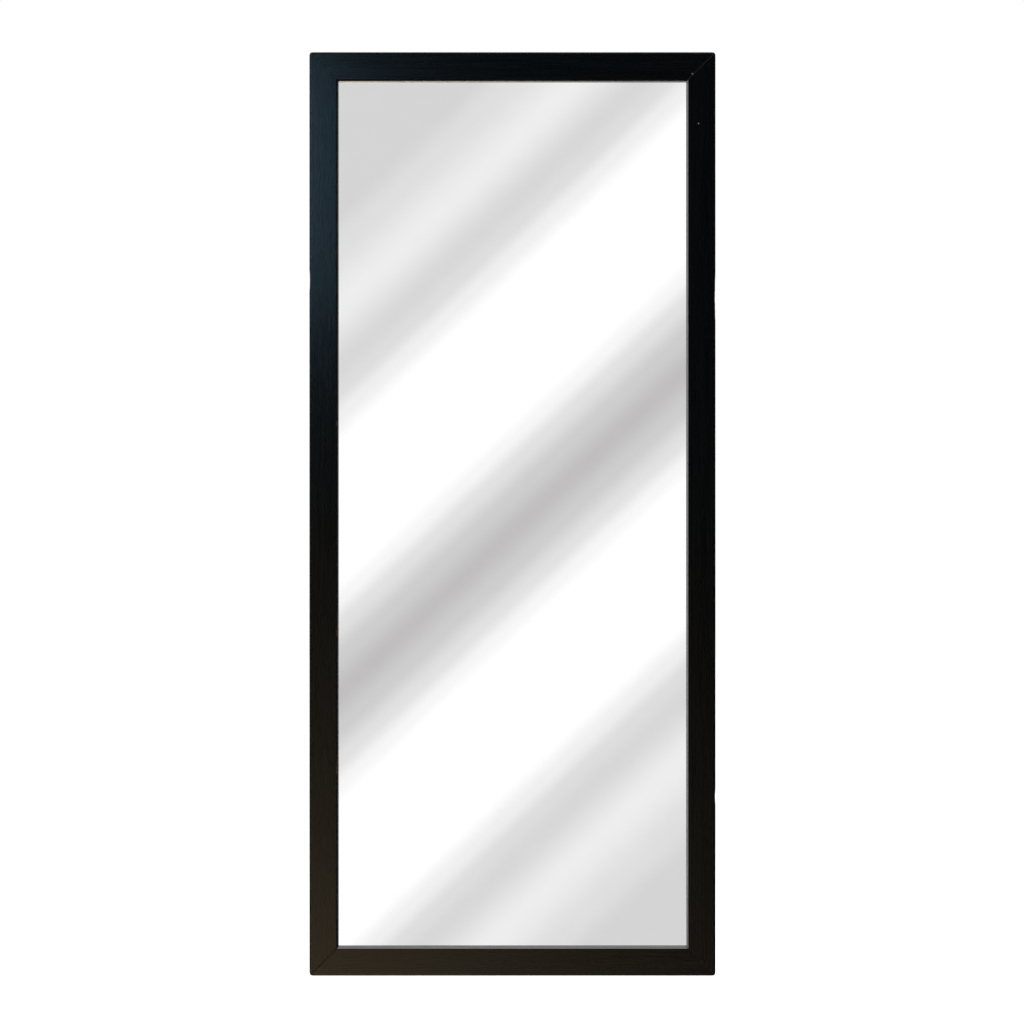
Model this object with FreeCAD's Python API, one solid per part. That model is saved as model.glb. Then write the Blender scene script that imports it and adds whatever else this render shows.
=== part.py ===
import FreeCAD, Part
import math
import os
from FreeCAD import Vector

# Pull-out closet mirror: a full-length mirror in a mitred wooden frame. It hangs on two ball-bearing
# slides that are screwed to the side panel of a closet. The mirror is pulled out along +X, then swings
# about a vertical pivot at its leading edge until it faces out of the closet.
#
# Units are millimetres. The origin is the centre of the four panel screws, on the face of the side
# panel. +X is the pull-out direction and +Z is up. The panel lies at Y = 0 and the glass faces -Y.
# Depths that are measured from the panel towards the glass are called "out" below: y = -out.

# ---------------------------------------------------------------- mirror panel
PANEL_WIDTH = 536.0
PANEL_HEIGHT = 1219.0
FRAME_DEPTH = 22.0
RAIL_WIDTH = 38.0
OUTER_EDGE_RADIUS = 2.0
SIGHT_BEVEL = 2.0
PLAN_CORNER_RADIUS = 3.0
REBATE_WIDTH = 8.0
GLASS_THICKNESS = 4.0
GLASS_ARRIS = 0.8
BACKING_THICKNESS = 3.0
BACK_RECESS = 8.0
REBATE_CLEARANCE = 1.0

# ---------------------------------------------------------------- glazing points and corner nails
POINT_GAUGE = 0.6
POINT_WIDTH = 10.0
POINT_PROUD = 9.0
POINT_BURIED = 7.0
POINT_TIP = 4.0
POINTS_PER_STILE = 5
POINTS_PER_RAIL = 3
POINT_END_INSET = 50.0
NAIL_GAUGE = 0.8
NAIL_LEG = 6.0
NAIL_HEIGHT = 9.0
NAIL_FIRST_INSET = 9.0
NAIL_REBATE_MARGIN = 4.0

# ---------------------------------------------------------------- slides
SLIDE_LENGTH = 450.0
SLIDE_SPACING = 800.0
SLIDE_HEIGHT = 45.5
OUTER_GAUGE = 1.2
MIDDLE_GAUGE = 1.0
INNER_GAUGE = 1.2
BALL_RADIUS = 1.75
RACE_CLEARANCE = 0.12
RACE_OUT = 7.7
RACE_STEP_ANGLE = 72.0
WEB_CLEARANCE = 0.7
BEND_RADIUS = 1.0
FOLD_ANGLE = 35.0
HOLE_PITCH = 32.0
FRONT_SETBACK = 37.0
REAR_SETBACK = 29.0
PANEL_HOLE_RADIUS = 2.3
SLOT_HALF_WIDTH = 2.3
SLOT_LENGTH = 11.0
BUFFER_LENGTH = 10.0
BUFFER_HALF_HEIGHT = 11.0
BUFFER_ROUNDING = 2.0
END_GAP = 1.0
MIDDLE_FRONT_SETBACK = 4.0
WINDOW_LENGTH = 60.0
WINDOW_HEIGHT = 14.0
OUTER_RACE_END_ANGLE = -20.0
MIDDLE_RACE_END_ANGLE = -5.0
INNER_RACE_END_ANGLE = 215.0

# ---------------------------------------------------------------- ball cages
CAGE_GAUGE = 0.35
CAGE_LENGTH = 190.0
CAGE_CENTRE_BACK = 6.0
CAGE_BEND_RADIUS = 0.6
CAGE_WEB_GAP = 0.15
CAGE_WINDOW_MARGIN = 15.0
BALLS_PER_ROW = 4
BALL_PITCH = 50.0
BALL_SIDES = 8
BALL_POCKET_CLEARANCE = 0.08
OUTER_CAGE_LIFT = 0.85
INNER_CAGE_DROP = 0.7
OUTER_CAGE_EDGE_SETBACK = 0.62
INNER_CAGE_EDGE_OVERHANG = 0.15

# ---------------------------------------------------------------- carriage
POST_WIDTH = 32.0
POST_DEPTH = 9.0
POST_GAUGE = 1.5
POST_BEND_RADIUS = 1.5
POST_OVERRUN = 30.0
PIVOT_REACH = 25.0
PIVOT_INSET = 14.0
PIVOT_BEHIND_FRAME = 10.0
FRAME_STANDOFF = 26.0
BRACKET_GAUGE = 3.0
BRACKET_BEND_RADIUS = 2.0
BRACKET_BASE_WIDTH = 24.0
BRACKET_BASE_HEIGHT = 60.0
EAR_FRAME_GAP = 0.5
REST_GAUGE = 2.0
REST_WIDTH = 20.0
REST_BASE_LENGTH = 32.0
REST_FOOT_REAR = 12.0
REST_STEP_RUN = 22.0
REST_END_MARGIN = 4.0
REST_BEND_RADIUS = 3.0
REST_SLOPE = 45.0
BUMPER_RADIUS = 6.0
BUMPER_HEIGHT = 4.7
BUMPER_NECK_RADIUS = 2.4
BUMPER_BARB_RADIUS = 3.4
BUMPER_BARB_HEIGHT = 1.6
BUMPER_CHAMFER = 1.4
BUMPER_SIDES = 16
SEAT_GAP = 0.3

# ---------------------------------------------------------------- pivots
BOLT_RADIUS = 3.0
BOLT_HEAD_RADIUS = 5.0
BOLT_HEAD_HEIGHT = 3.3
BOLT_SOCKET_RADIUS = 1.9
BOLT_SOCKET_DEPTH = 1.8
BOLT_TAIL = 1.5
BOLT_CHAMFER = 1.2
BUSH_WALL = 1.0
BUSH_FLANGE_RADIUS = 5.2
BUSH_FLANGE_HEIGHT = 1.0
RUNNING_CLEARANCE = 0.05
FIT_CLEARANCE = 0.05
PIVOT_GAP = 0.2
WASHER_RADIUS = 6.0
WASHER_HEIGHT = 1.0
NUT_ACROSS_FLATS = 10.0
NUT_HEIGHT = 5.0
STOP_RADIUS = 7.2
STOP_PIN_RADIUS = 1.5
STOP_PIN_PROUD = 0.5
STOP_PIN_ANGLE = 135.0
STOP_CLEARANCE = 0.3
SWING_ANGLE = 90.0
FRAME_EAR_RADIUS = 11.0
FRAME_FLANGE_HEIGHT = 70.0

# ---------------------------------------------------------------- places worked out from the sizes
CUT_OVERRUN = 1.0
HOLE_SPAN = HOLE_PITCH * math.floor((SLIDE_LENGTH - FRONT_SETBACK - REAR_SETBACK) / HOLE_PITCH)
LEVEL_SLOT_SPAN = HOLE_PITCH * math.floor(HOLE_SPAN / HOLE_PITCH / 2)
SLIDE_FRONT = HOLE_SPAN / 2 + FRONT_SETBACK
SLIDE_REAR = SLIDE_FRONT - SLIDE_LENGTH
MOVING_REAR = SLIDE_REAR + BUFFER_LENGTH + END_GAP
SLIDE_LEVELS = {"upper": SLIDE_SPACING / 2, "lower": -SLIDE_SPACING / 2}

RACE_RADIUS = BALL_RADIUS + RACE_CLEARANCE
RACE_STEP = 2 * RACE_RADIUS + MIDDLE_GAUGE
OUTER_RACE = (RACE_OUT, SLIDE_HEIGHT / 2 - OUTER_GAUGE - RACE_RADIUS)
INNER_RACE = (
    OUTER_RACE[0] + RACE_STEP * math.cos(math.radians(RACE_STEP_ANGLE)),
    OUTER_RACE[1] - RACE_STEP * math.sin(math.radians(RACE_STEP_ANGLE)),
)
MIDDLE_WEB_OUT = OUTER_GAUGE + WEB_CLEARANCE + MIDDLE_GAUGE / 2

PIVOT_X = SLIDE_FRONT + PIVOT_REACH
PIVOT_OUT = FRAME_STANDOFF - PIVOT_BEHIND_FRAME
PANEL_RIGHT = PIVOT_X + PIVOT_INSET
PANEL_LEFT = PANEL_RIGHT - PANEL_WIDTH
PANEL_TOP = PANEL_HEIGHT / 2
FRAME_BACK_OUT = FRAME_STANDOFF
FRAME_FRONT_OUT = FRAME_STANDOFF + FRAME_DEPTH
REBATE_DEPTH = GLASS_THICKNESS + BACKING_THICKNESS + BACK_RECESS
LIP_DEPTH = FRAME_DEPTH - REBATE_DEPTH
BACKING_BACK_OUT = FRAME_BACK_OUT + BACK_RECESS
GLASS_BACK_OUT = BACKING_BACK_OUT + BACKING_THICKNESS
POST_HALF_LENGTH = SLIDE_SPACING / 2 + POST_OVERRUN
CARRIAGE_EAR_TOPS = {
    "upper": POST_HALF_LENGTH + BRACKET_GAUGE,
    "lower": -POST_HALF_LENGTH,
}
FRAME_EAR_LIFT = BUSH_FLANGE_HEIGHT + PIVOT_GAP


def at(x, out, z):
    """A point, given its distance out from the side panel."""
    return Vector(x, -out, z)


def on_circle(centre, radius, degrees):
    """A flat point on a circle."""
    angle = math.radians(degrees)
    return (centre[0] + radius * math.cos(angle), centre[1] + radius * math.sin(angle))


# ---------------------------------------------------------------- folded strip of even gauge
def arc(centre, radius, start, end):
    """One bend of a strip's centre line: it turns left when end is over start."""
    return ("arc", centre, radius, start, end)


def ends_of(element):
    """First and last point of one centre-line element."""
    if element[0] == "arc":
        _, centre, radius, start, end = element
        return on_circle(centre, radius, start), on_circle(centre, radius, end)
    return element[1], element[1]


def mirrored(path):
    """The path reflected about z = 0 and run backwards, so that it can lead into the original."""
    result = []
    for element in reversed(path):
        if element[0] == "arc":
            _, centre, radius, start, end = element
            result.append(arc((centre[0], -centre[1]), radius, -end, -start))
        else:
            result.append(("point", (element[1][0], -element[1][1])))
    return result


def strip_side(path, half_gauge, side):
    """Edges of one side of the strip as (first, middle, last) points; middle is None on a straight."""
    edges = []
    joint = None
    for index, element in enumerate(path):
        if element[0] == "arc":
            _, centre, radius, start, end = element
            turn = 1 if end > start else -1
            offset = radius - side * turn * half_gauge
            first = on_circle(centre, offset, start)
            last = on_circle(centre, offset, end)
            if joint is not None and math.dist(joint, first) > 1e-6:
                edges.append((joint, None, first))
            edges.append((first, on_circle(centre, offset, (start + end) / 2), last))
            joint = last
        else:
            here = element[1]
            other = ends_of(path[index + 1])[0] if index == 0 else ends_of(path[index - 1])[1]
            run = (other[0] - here[0], other[1] - here[1])
            if index > 0:
                run = (-run[0], -run[1])
            length = math.hypot(*run)
            normal = (-run[1] / length * side * half_gauge, run[0] / length * side * half_gauge)
            point = (here[0] + normal[0], here[1] + normal[1])
            if joint is not None:
                edges.append((joint, None, point))
            joint = point
    return edges


def strip_face(path, gauge, place):
    """The section of a strip whose centre line runs through points and tangent arcs."""
    left = strip_side(path, gauge / 2, 1)
    right = strip_side(path, gauge / 2, -1)
    loop = list(left)
    loop.append((left[-1][2], None, right[-1][2]))
    loop += [(last, middle, first) for first, middle, last in reversed(right)]
    loop.append((right[0][0], None, left[0][0]))
    edges = []
    for first, middle, last in loop:
        if middle is None:
            edges.append(Part.LineSegment(place(*first), place(*last)).toShape())
        else:
            edges.append(Part.Arc(place(*first), place(*middle), place(*last)).toShape())
    return Part.Face(Part.Wire(edges))


# ---------------------------------------------------------------- small solids
def block(x_range, out_range, z_range):
    """A box between two distances out from the panel."""
    return Part.makeBox(
        x_range[1] - x_range[0],
        out_range[1] - out_range[0],
        z_range[1] - z_range[0],
        at(x_range[0], out_range[1], z_range[0]),
    )


def drill(radius, x, z, out_range):
    """A round bar along Y, for holes through the sheet and the frame."""
    return Part.makeCylinder(radius, out_range[1] - out_range[0], at(x, out_range[1], z), Vector(0, 1, 0))


def oblong(x_centre, z, length, half_width, out_range):
    """A bar with round ends along X, for slots and windows in a web."""
    half_run = length / 2 - half_width
    span = (x_centre - half_run, x_centre + half_run)
    bar = block(span, out_range, (z - half_width, z + half_width))
    for x in span:
        bar = bar.fuse(drill(half_width, x, z, out_range))
    return bar.removeSplitter()


def turned(outline, base):
    """A solid of revolution about the vertical through base, from (radius, height) corners."""
    points = [base + Vector(radius, 0, height) for radius, height in outline]
    points.append(points[0])
    return Part.Face(Part.makePolygon(points)).revolve(base, Vector(0, 0, 1), 360)


def group(solids):
    """Several separate solids that share one node."""
    return Part.makeCompound(solids)


# ---------------------------------------------------------------- slide members
def outer_path():
    """Upper half of the outer member: web, square fold, then a race that curls over the ball."""
    web = OUTER_GAUGE / 2
    crown = OUTER_RACE[1] + RACE_RADIUS + OUTER_GAUGE / 2
    fold = BEND_RADIUS + OUTER_GAUGE / 2
    return [
        arc((web + fold, crown - fold), fold, 180, 90),
        arc(OUTER_RACE, RACE_RADIUS + OUTER_GAUGE / 2, 90, OUTER_RACE_END_ANGLE),
    ]


def middle_path():
    """Upper half of the middle member: a folded hook, then one race under and one over a ball."""
    race = RACE_RADIUS + MIDDLE_GAUGE / 2
    start = 270 - FOLD_ANGLE
    fold_end = 90 - FOLD_ANGLE
    race_start = on_circle(OUTER_RACE, race, start)
    fold_end_out = MIDDLE_WEB_OUT + BEND_RADIUS * (1 + math.cos(math.radians(fold_end)))
    climb = (race_start[0] - fold_end_out) * math.tan(math.radians(FOLD_ANGLE))
    fold_z = race_start[1] + climb - BEND_RADIUS * math.sin(math.radians(fold_end))
    return [
        arc((MIDDLE_WEB_OUT + BEND_RADIUS, fold_z), BEND_RADIUS, 180, fold_end),
        arc(OUTER_RACE, race, start, 360 - RACE_STEP_ANGLE),
        arc(INNER_RACE, race, 180 - RACE_STEP_ANGLE, MIDDLE_RACE_END_ANGLE),
    ]


def inner_web_out():
    """Centre line of the inner member's web, where its fold meets the race below the inner ball."""
    race_start = on_circle(INNER_RACE, RACE_RADIUS + INNER_GAUGE / 2, 270 + FOLD_ANGLE)
    return race_start[0] + BEND_RADIUS * (1 + math.sin(math.radians(FOLD_ANGLE)))


def inner_path():
    """Upper half of the inner member: web at the front, folded back into a race under the ball."""
    race = RACE_RADIUS + INNER_GAUGE / 2
    race_start = on_circle(INNER_RACE, race, 270 + FOLD_ANGLE)
    fold_z = race_start[1] - BEND_RADIUS * math.cos(math.radians(FOLD_ANGLE))
    return [
        arc((inner_web_out() - BEND_RADIUS, fold_z), BEND_RADIUS, 0, 90 + FOLD_ANGLE),
        arc(INNER_RACE, race, 270 + FOLD_ANGLE, INNER_RACE_END_ANGLE),
    ]


INNER_FACE_OUT = inner_web_out() + INNER_GAUGE / 2
POST_FRONT_OUT = INNER_FACE_OUT + POST_DEPTH


def rolled_member(path, gauge, level, x_range):
    """A roll-formed member, closed about its own centre height and run along X."""
    face = strip_face(
        mirrored(path) + path, gauge, lambda out, z: at(x_range[0], out, level + z)
    )
    return face.extrude(Vector(x_range[1] - x_range[0], 0, 0))


def outer_member(level):
    """The member on the side panel: round screw holes, then level slots, and an upright one midway."""
    member = rolled_member(outer_path(), OUTER_GAUGE, level, (SLIDE_REAR, SLIDE_FRONT))
    web = (-CUT_OVERRUN, OUTER_GAUGE + CUT_OVERRUN)
    for side in (-1, 1):
        member = member.cut(drill(PANEL_HOLE_RADIUS, side * HOLE_SPAN / 2, level, web))
        slot = oblong(side * LEVEL_SLOT_SPAN / 2, level, SLOT_LENGTH, SLOT_HALF_WIDTH, web)
        member = member.cut(slot)
    upright_slot = oblong(0, level, SLOT_LENGTH, SLOT_HALF_WIDTH, web)
    upright_slot.rotate(at(0, 0, level), Vector(0, 1, 0), 90)
    return member.cut(upright_slot)


def middle_member(level):
    """The floating member. Its window stands over the front panel screw when it is fully out."""
    x_range = (MOVING_REAR, SLIDE_FRONT - MIDDLE_FRONT_SETBACK)
    member = rolled_member(middle_path(), MIDDLE_GAUGE, level, x_range)
    web = (MIDDLE_WEB_OUT - MIDDLE_GAUGE, MIDDLE_WEB_OUT + MIDDLE_GAUGE)
    over_front_screw = HOLE_SPAN / 2 - SLIDE_LENGTH / 2
    window = block(
        (over_front_screw - WINDOW_LENGTH / 2, over_front_screw + WINDOW_LENGTH / 2),
        web,
        (level - WINDOW_HEIGHT / 2, level + WINDOW_HEIGHT / 2),
    )
    return member.cut(window)


def inner_member(level):
    """The member that carries the post at its front end and the rest bracket at its rear end."""
    return rolled_member(inner_path(), INNER_GAUGE, level, (MOVING_REAR, SLIDE_FRONT))


def rear_buffer(level):
    """Moulded buffer at the closed end of the outer member, which the moving members stop against."""
    out_range = (OUTER_GAUGE, OUTER_RACE[0] + RACE_RADIUS)
    z_range = (level - BUFFER_HALF_HEIGHT, level + BUFFER_HALF_HEIGHT)
    buffer = block((SLIDE_REAR, SLIDE_REAR + BUFFER_LENGTH), out_range, z_range)
    corners = [
        edge
        for edge in buffer.Edges
        if abs(edge.tangentAt(edge.FirstParameter).x) > 0.9
        and edge.CenterOfMass.y < -out_range[1] + 0.01
    ]
    return buffer.makeFillet(BUFFER_ROUNDING, corners)


# ---------------------------------------------------------------- ball cages
def cage_range():
    """The stretch of rail that a cage fills when the mirror is pushed in."""
    centre = (MOVING_REAR + SLIDE_FRONT) / 2 - CAGE_CENTRE_BACK
    return (centre - CAGE_LENGTH / 2, centre + CAGE_LENGTH / 2)


def ball_places(race, level):
    """Ball centres of one cage: an upper and a lower row."""
    x_range = cage_range()
    middle = (x_range[0] + x_range[1]) / 2
    first = middle - BALL_PITCH * (BALLS_PER_ROW - 1) / 2
    places = []
    for side in (1, -1):
        for index in range(BALLS_PER_ROW):
            places.append(at(first + index * BALL_PITCH, race[0], level + side * race[1]))
    return places


def ring(radius, centre, sides=BALL_SIDES, axis=Vector(0, 0, 1)):
    """Corners of a flat regular polygon about an axis through centre."""
    side = Vector(1, 0, 0)
    other = axis.cross(side)
    corners = []
    for index in range(sides):
        across, up = on_circle((0, 0), radius, 360 * (index + 0.5) / sides)
        corners.append(centre + side * across + other * up)
    return corners


def polygon(corners):
    """A flat face on the given corners."""
    return Part.Face(Part.makePolygon(corners + corners[:1]))


def faceted(outline, base, axis, sides):
    """A turned form with flat facets, from (radius, height) corners that start and end on the axis."""
    rings = [ring(radius, base + axis * height, sides, axis) for radius, height in outline[1:-1]]
    bottom = base + axis * outline[0][1]
    top = base + axis * outline[-1][1]
    faces = []
    for index in range(sides):
        following = (index + 1) % sides
        faces.append(polygon([bottom, rings[0][following], rings[0][index]]))
        faces.append(polygon([top, rings[-1][index], rings[-1][following]]))
        for below, above in zip(rings, rings[1:]):
            faces.append(polygon([below[index], below[following], above[following], above[index]]))
    return Part.makeSolid(Part.makeShell(faces))


def ball(place):
    """A ball with flat facets, which keeps its many copies light."""
    steps = BALL_SIDES // 2
    angles = [math.pi * step / steps for step in range(1, steps)]
    outline = [(BALL_RADIUS * math.sin(angle), -BALL_RADIUS * math.cos(angle)) for angle in angles]
    outline = [(0, -BALL_RADIUS)] + outline + [(0, BALL_RADIUS)]
    return faceted(outline, place, Vector(0, 0, 1), BALL_SIDES)


def balls(race):
    """All the balls that run in one race of both slides."""
    return group([ball(place) for level in SLIDE_LEVELS.values() for place in ball_places(race, level)])


def cage(level, race, web_back, flange_shift, flange_end):
    """A thin U strip. Its flanges cross the balls flange_shift above their centres and hold them."""
    web = web_back + CAGE_GAUGE / 2
    height = race[1] + flange_shift
    fold = CAGE_BEND_RADIUS
    path = [
        arc((web + fold, height - fold), fold, 180, 90),
        ("point", (flange_end, height)),
    ]
    x_range = cage_range()
    face = strip_face(
        mirrored(path) + path, CAGE_GAUGE, lambda out, z: at(x_range[0], out, level + z)
    )
    strip = face.extrude(Vector(x_range[1] - x_range[0], 0, 0))
    nearest = abs(flange_shift) - CAGE_GAUGE / 2
    pocket = math.sqrt(BALL_RADIUS**2 - nearest**2) + BALL_POCKET_CLEARANCE
    reach = abs(flange_shift) + CAGE_GAUGE
    for place in ball_places(race, level):
        base = place - Vector(0, 0, reach)
        strip = strip.cut(polygon(ring(pocket, base)).extrude(Vector(0, 0, 2 * reach)))
    window = block(
        (x_range[0] + CAGE_WINDOW_MARGIN, x_range[1] - CAGE_WINDOW_MARGIN),
        (web_back - CAGE_GAUGE, web_back + 2 * CAGE_GAUGE),
        (level - WINDOW_HEIGHT / 2, level + WINDOW_HEIGHT / 2),
    )
    return strip.cut(window)


def outer_cage(level):
    """The cage between the outer and the middle member."""
    flange_end = OUTER_RACE[0] + RACE_RADIUS - OUTER_CAGE_EDGE_SETBACK
    return cage(level, OUTER_RACE, OUTER_GAUGE + CAGE_WEB_GAP, OUTER_CAGE_LIFT, flange_end)


def inner_cage(level):
    """The cage between the middle and the inner member."""
    web_back = MIDDLE_WEB_OUT + MIDDLE_GAUGE / 2 + CAGE_WEB_GAP
    flange_end = INNER_RACE[0] + RACE_RADIUS + INNER_CAGE_EDGE_OVERHANG
    return cage(level, INNER_RACE, web_back, -INNER_CAGE_DROP, flange_end)


# ---------------------------------------------------------------- carriage
def rest_base_start():
    """Where the rest bracket's base begins: clear of its foot, and on the inner member."""
    return max(rest_foot_x() + REST_STEP_RUN, MOVING_REAR + REST_END_MARGIN)


def rest_foot_x():
    """The bumper stands behind the middle of the far stile."""
    return PANEL_LEFT + RAIL_WIDTH / 2


def carriage_post():
    """A folded channel, open towards the glass, that ties the two inner members together."""
    fold = POST_BEND_RADIUS + POST_GAUGE / 2
    back = INNER_FACE_OUT + POST_GAUGE / 2
    half = POST_WIDTH / 2 - POST_GAUGE / 2
    centre = SLIDE_FRONT - POST_WIDTH / 2
    path = [
        arc((back + fold, half - fold), fold, 180, 90),
        ("point", (POST_FRONT_OUT, half)),
    ]
    face = strip_face(
        mirrored(path) + path, POST_GAUGE, lambda out, x: at(centre + x, out, -POST_HALF_LENGTH)
    )
    return face.extrude(Vector(0, 0, 2 * POST_HALF_LENGTH))


def ear_outline(z, outline):
    """A flat plate of the bracket gauge from an outline of (first, middle, last) edges."""
    edges = []
    for first, middle, last in outline:
        if middle is None:
            edges.append(Part.LineSegment(at(*first, z), at(*last, z)).toShape())
        else:
            edges.append(Part.Arc(at(*first, z), at(*middle, z), at(*last, z)).toShape())
    return Part.Face(Part.Wire(edges)).extrude(Vector(0, 0, BRACKET_GAUGE))


def carriage_ear(z):
    """The horizontal ear that reaches from the end of the post to a round nose at the pivot."""
    radius = PIVOT_BEHIND_FRAME - EAR_FRAME_GAP
    pivot = (PIVOT_X, PIVOT_OUT)
    left = SLIDE_FRONT - POST_WIDTH / 2 - BRACKET_BASE_WIDTH / 2
    back = INNER_FACE_OUT + POST_GAUGE
    front = PIVOT_OUT + radius
    heel = (SLIDE_FRONT, back)
    reach = math.dist(heel, pivot)
    heading = math.degrees(math.atan2(heel[1] - pivot[1], heel[0] - pivot[0]))
    touch_angle = heading + math.degrees(math.acos(radius / reach))
    touch = on_circle(pivot, radius, touch_angle)
    return ear_outline(
        z,
        [
            ((left, back), None, heel),
            (heel, None, touch),
            (touch, on_circle(pivot, radius, 0), (PIVOT_X, front)),
            ((PIVOT_X, front), None, (left, front)),
            ((left, front), None, (left, back)),
        ],
    )


def pivot_bracket(side):
    """A folded bracket: its base lies in the post, its ear closes the post's end and holds the bush."""
    sign = 1 if side == "upper" else -1
    ear_top = CARRIAGE_EAR_TOPS[side]
    ear_middle = ear_top - BRACKET_GAUGE / 2
    base_back = INNER_FACE_OUT + POST_GAUGE
    base_centre = base_back + BRACKET_GAUGE / 2
    fold = BRACKET_BEND_RADIUS + BRACKET_GAUGE / 2
    base_end = sign * (POST_HALF_LENGTH - BRACKET_BASE_HEIGHT)
    path = [
        ("point", (base_centre, base_end)),
        arc((base_centre + fold, ear_middle - sign * fold), fold, 180, 180 - sign * 90),
        ("point", (PIVOT_OUT + PIVOT_BEHIND_FRAME - EAR_FRAME_GAP, ear_middle)),
    ]
    left = SLIDE_FRONT - POST_WIDTH / 2 - BRACKET_BASE_WIDTH / 2
    fold_strip = strip_face(path, BRACKET_GAUGE, lambda out, z: at(left, out, z))
    fold_strip = fold_strip.extrude(Vector(BRACKET_BASE_WIDTH, 0, 0))
    ear = carriage_ear(ear_top - BRACKET_GAUGE)
    corner = block(
        (left - CUT_OVERRUN, left + BRACKET_BASE_WIDTH),
        (base_back - CUT_OVERRUN, base_centre + fold),
        (ear_top - BRACKET_GAUGE - CUT_OVERRUN, ear_top + CUT_OVERRUN),
    )
    bracket = fold_strip.fuse(ear.cut(corner)).removeSplitter()
    bore = BOLT_RADIUS + RUNNING_CLEARANCE + BUSH_WALL + FIT_CLEARANCE
    bracket = bracket.cut(upright(bore, PIVOT_X, PIVOT_OUT, ear_top - BRACKET_GAUGE, ear_top))
    stop_x, stop_out = stop_place(0)
    return bracket.cut(
        upright(STOP_PIN_RADIUS + FIT_CLEARANCE, stop_x, stop_out, ear_top - BRACKET_GAUGE, ear_top)
    )


def upright(radius, x, out, z_low, z_high):
    """A round bar along Z."""
    return Part.makeCylinder(radius, z_high - z_low, at(x, out, z_low))


def bumper_head_back():
    """Distance out of the rest bracket's front face, which the bumper's head stands on."""
    return FRAME_BACK_OUT - SEAT_GAP - BUMPER_HEIGHT


def rest_bracket(level):
    """A cranked strip that reaches behind the far stile, so that the mirror rests parallel."""
    base_out = INNER_FACE_OUT + REST_GAUGE / 2
    foot_out = bumper_head_back() - REST_GAUGE / 2
    start = rest_base_start()
    foot_end = rest_foot_x() - REST_FOOT_REAR
    rise = foot_out - base_out
    half_turn = REST_BEND_RADIUS * math.tan(math.radians(REST_SLOPE / 2))
    foot_corner = start - rise / math.tan(math.radians(REST_SLOPE))
    path = [
        ("point", (start + REST_BASE_LENGTH, base_out)),
        arc((start + half_turn, base_out + REST_BEND_RADIUS), REST_BEND_RADIUS, 270, 270 - REST_SLOPE),
        arc((foot_corner - half_turn, foot_out - REST_BEND_RADIUS), REST_BEND_RADIUS, 90 - REST_SLOPE, 90),
        ("point", (foot_end, foot_out)),
    ]
    strip = strip_face(path, REST_GAUGE, lambda x, out: at(x, out, level - REST_WIDTH / 2))
    strip = strip.extrude(Vector(0, 0, REST_WIDTH))
    foot = (foot_out - REST_GAUGE, foot_out + REST_GAUGE)
    return strip.cut(drill(BUMPER_NECK_RADIUS + FIT_CLEARANCE, rest_foot_x(), level, foot))


def rest_bumper(level):
    """A push-in rubber bumper: a round head for the stile and a barb behind the bracket."""
    outline = [
        (0, -REST_GAUGE - BUMPER_BARB_HEIGHT),
        (BUMPER_NECK_RADIUS, -REST_GAUGE - BUMPER_BARB_HEIGHT),
        (BUMPER_BARB_RADIUS, -REST_GAUGE),
        (BUMPER_NECK_RADIUS, -REST_GAUGE),
        (BUMPER_NECK_RADIUS, 0),
        (BUMPER_RADIUS, 0),
        (BUMPER_RADIUS, BUMPER_HEIGHT - BUMPER_CHAMFER),
        (BUMPER_RADIUS - BUMPER_CHAMFER, BUMPER_HEIGHT),
        (0, BUMPER_HEIGHT),
    ]
    base = at(rest_foot_x(), bumper_head_back(), level)
    return faceted(outline, base, Vector(0, -1, 0), BUMPER_SIDES)


# ---------------------------------------------------------------- pivots
def stop_place(turn):
    """Where the stop pin stands, seen from a bracket that has swung by turn degrees."""
    angle = STOP_PIN_ANGLE - turn
    x, y = on_circle((PIVOT_X, -PIVOT_OUT), STOP_RADIUS, angle)
    return (x, -y)


def bush(ear_top):
    """Nylon bush: its sleeve lines the carriage ear and its flange carries the frame's ear."""
    sleeve = BOLT_RADIUS + RUNNING_CLEARANCE + BUSH_WALL
    ring = upright(sleeve, PIVOT_X, PIVOT_OUT, ear_top - BRACKET_GAUGE, ear_top)
    flange = upright(BUSH_FLANGE_RADIUS, PIVOT_X, PIVOT_OUT, ear_top, ear_top + BUSH_FLANGE_HEIGHT)
    bore = upright(
        BOLT_RADIUS + RUNNING_CLEARANCE,
        PIVOT_X,
        PIVOT_OUT,
        ear_top - BRACKET_GAUGE,
        ear_top + BUSH_FLANGE_HEIGHT,
    )
    return ring.fuse(flange).cut(bore).removeSplitter()


def stop_pin(ear_top):
    """The pin that runs in the curved slot of the frame's ear and ends the swing at both ends."""
    x, out = stop_place(0)
    top = ear_top + FRAME_EAR_LIFT + BRACKET_GAUGE + STOP_PIN_PROUD
    return upright(STOP_PIN_RADIUS, x, out, ear_top - BRACKET_GAUGE, top)


def bolt_hole(z_low, z_high):
    """A hole for the pivot bolt, cut right through between two heights."""
    radius = BOLT_RADIUS + FIT_CLEARANCE
    return upright(radius, PIVOT_X, PIVOT_OUT, z_low - CUT_OVERRUN, z_high + CUT_OVERRUN)


def stop_slot(z_low, z_high):
    """The curved slot, long enough for the whole swing with the same clearance all round the pin."""
    half_width = STOP_PIN_RADIUS + STOP_CLEARANCE
    centre = (PIVOT_X, -PIVOT_OUT)
    path = [arc(centre, STOP_RADIUS, STOP_PIN_ANGLE - SWING_ANGLE, STOP_PIN_ANGLE)]
    face = strip_face(path, 2 * half_width, lambda x, y: Vector(x, y, z_low))
    slot = face.extrude(Vector(0, 0, z_high - z_low))
    for turn in (0, SWING_ANGLE):
        x, out = stop_place(turn)
        slot = slot.fuse(upright(half_width, x, out, z_low, z_high))
    return slot.removeSplitter()


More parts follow.
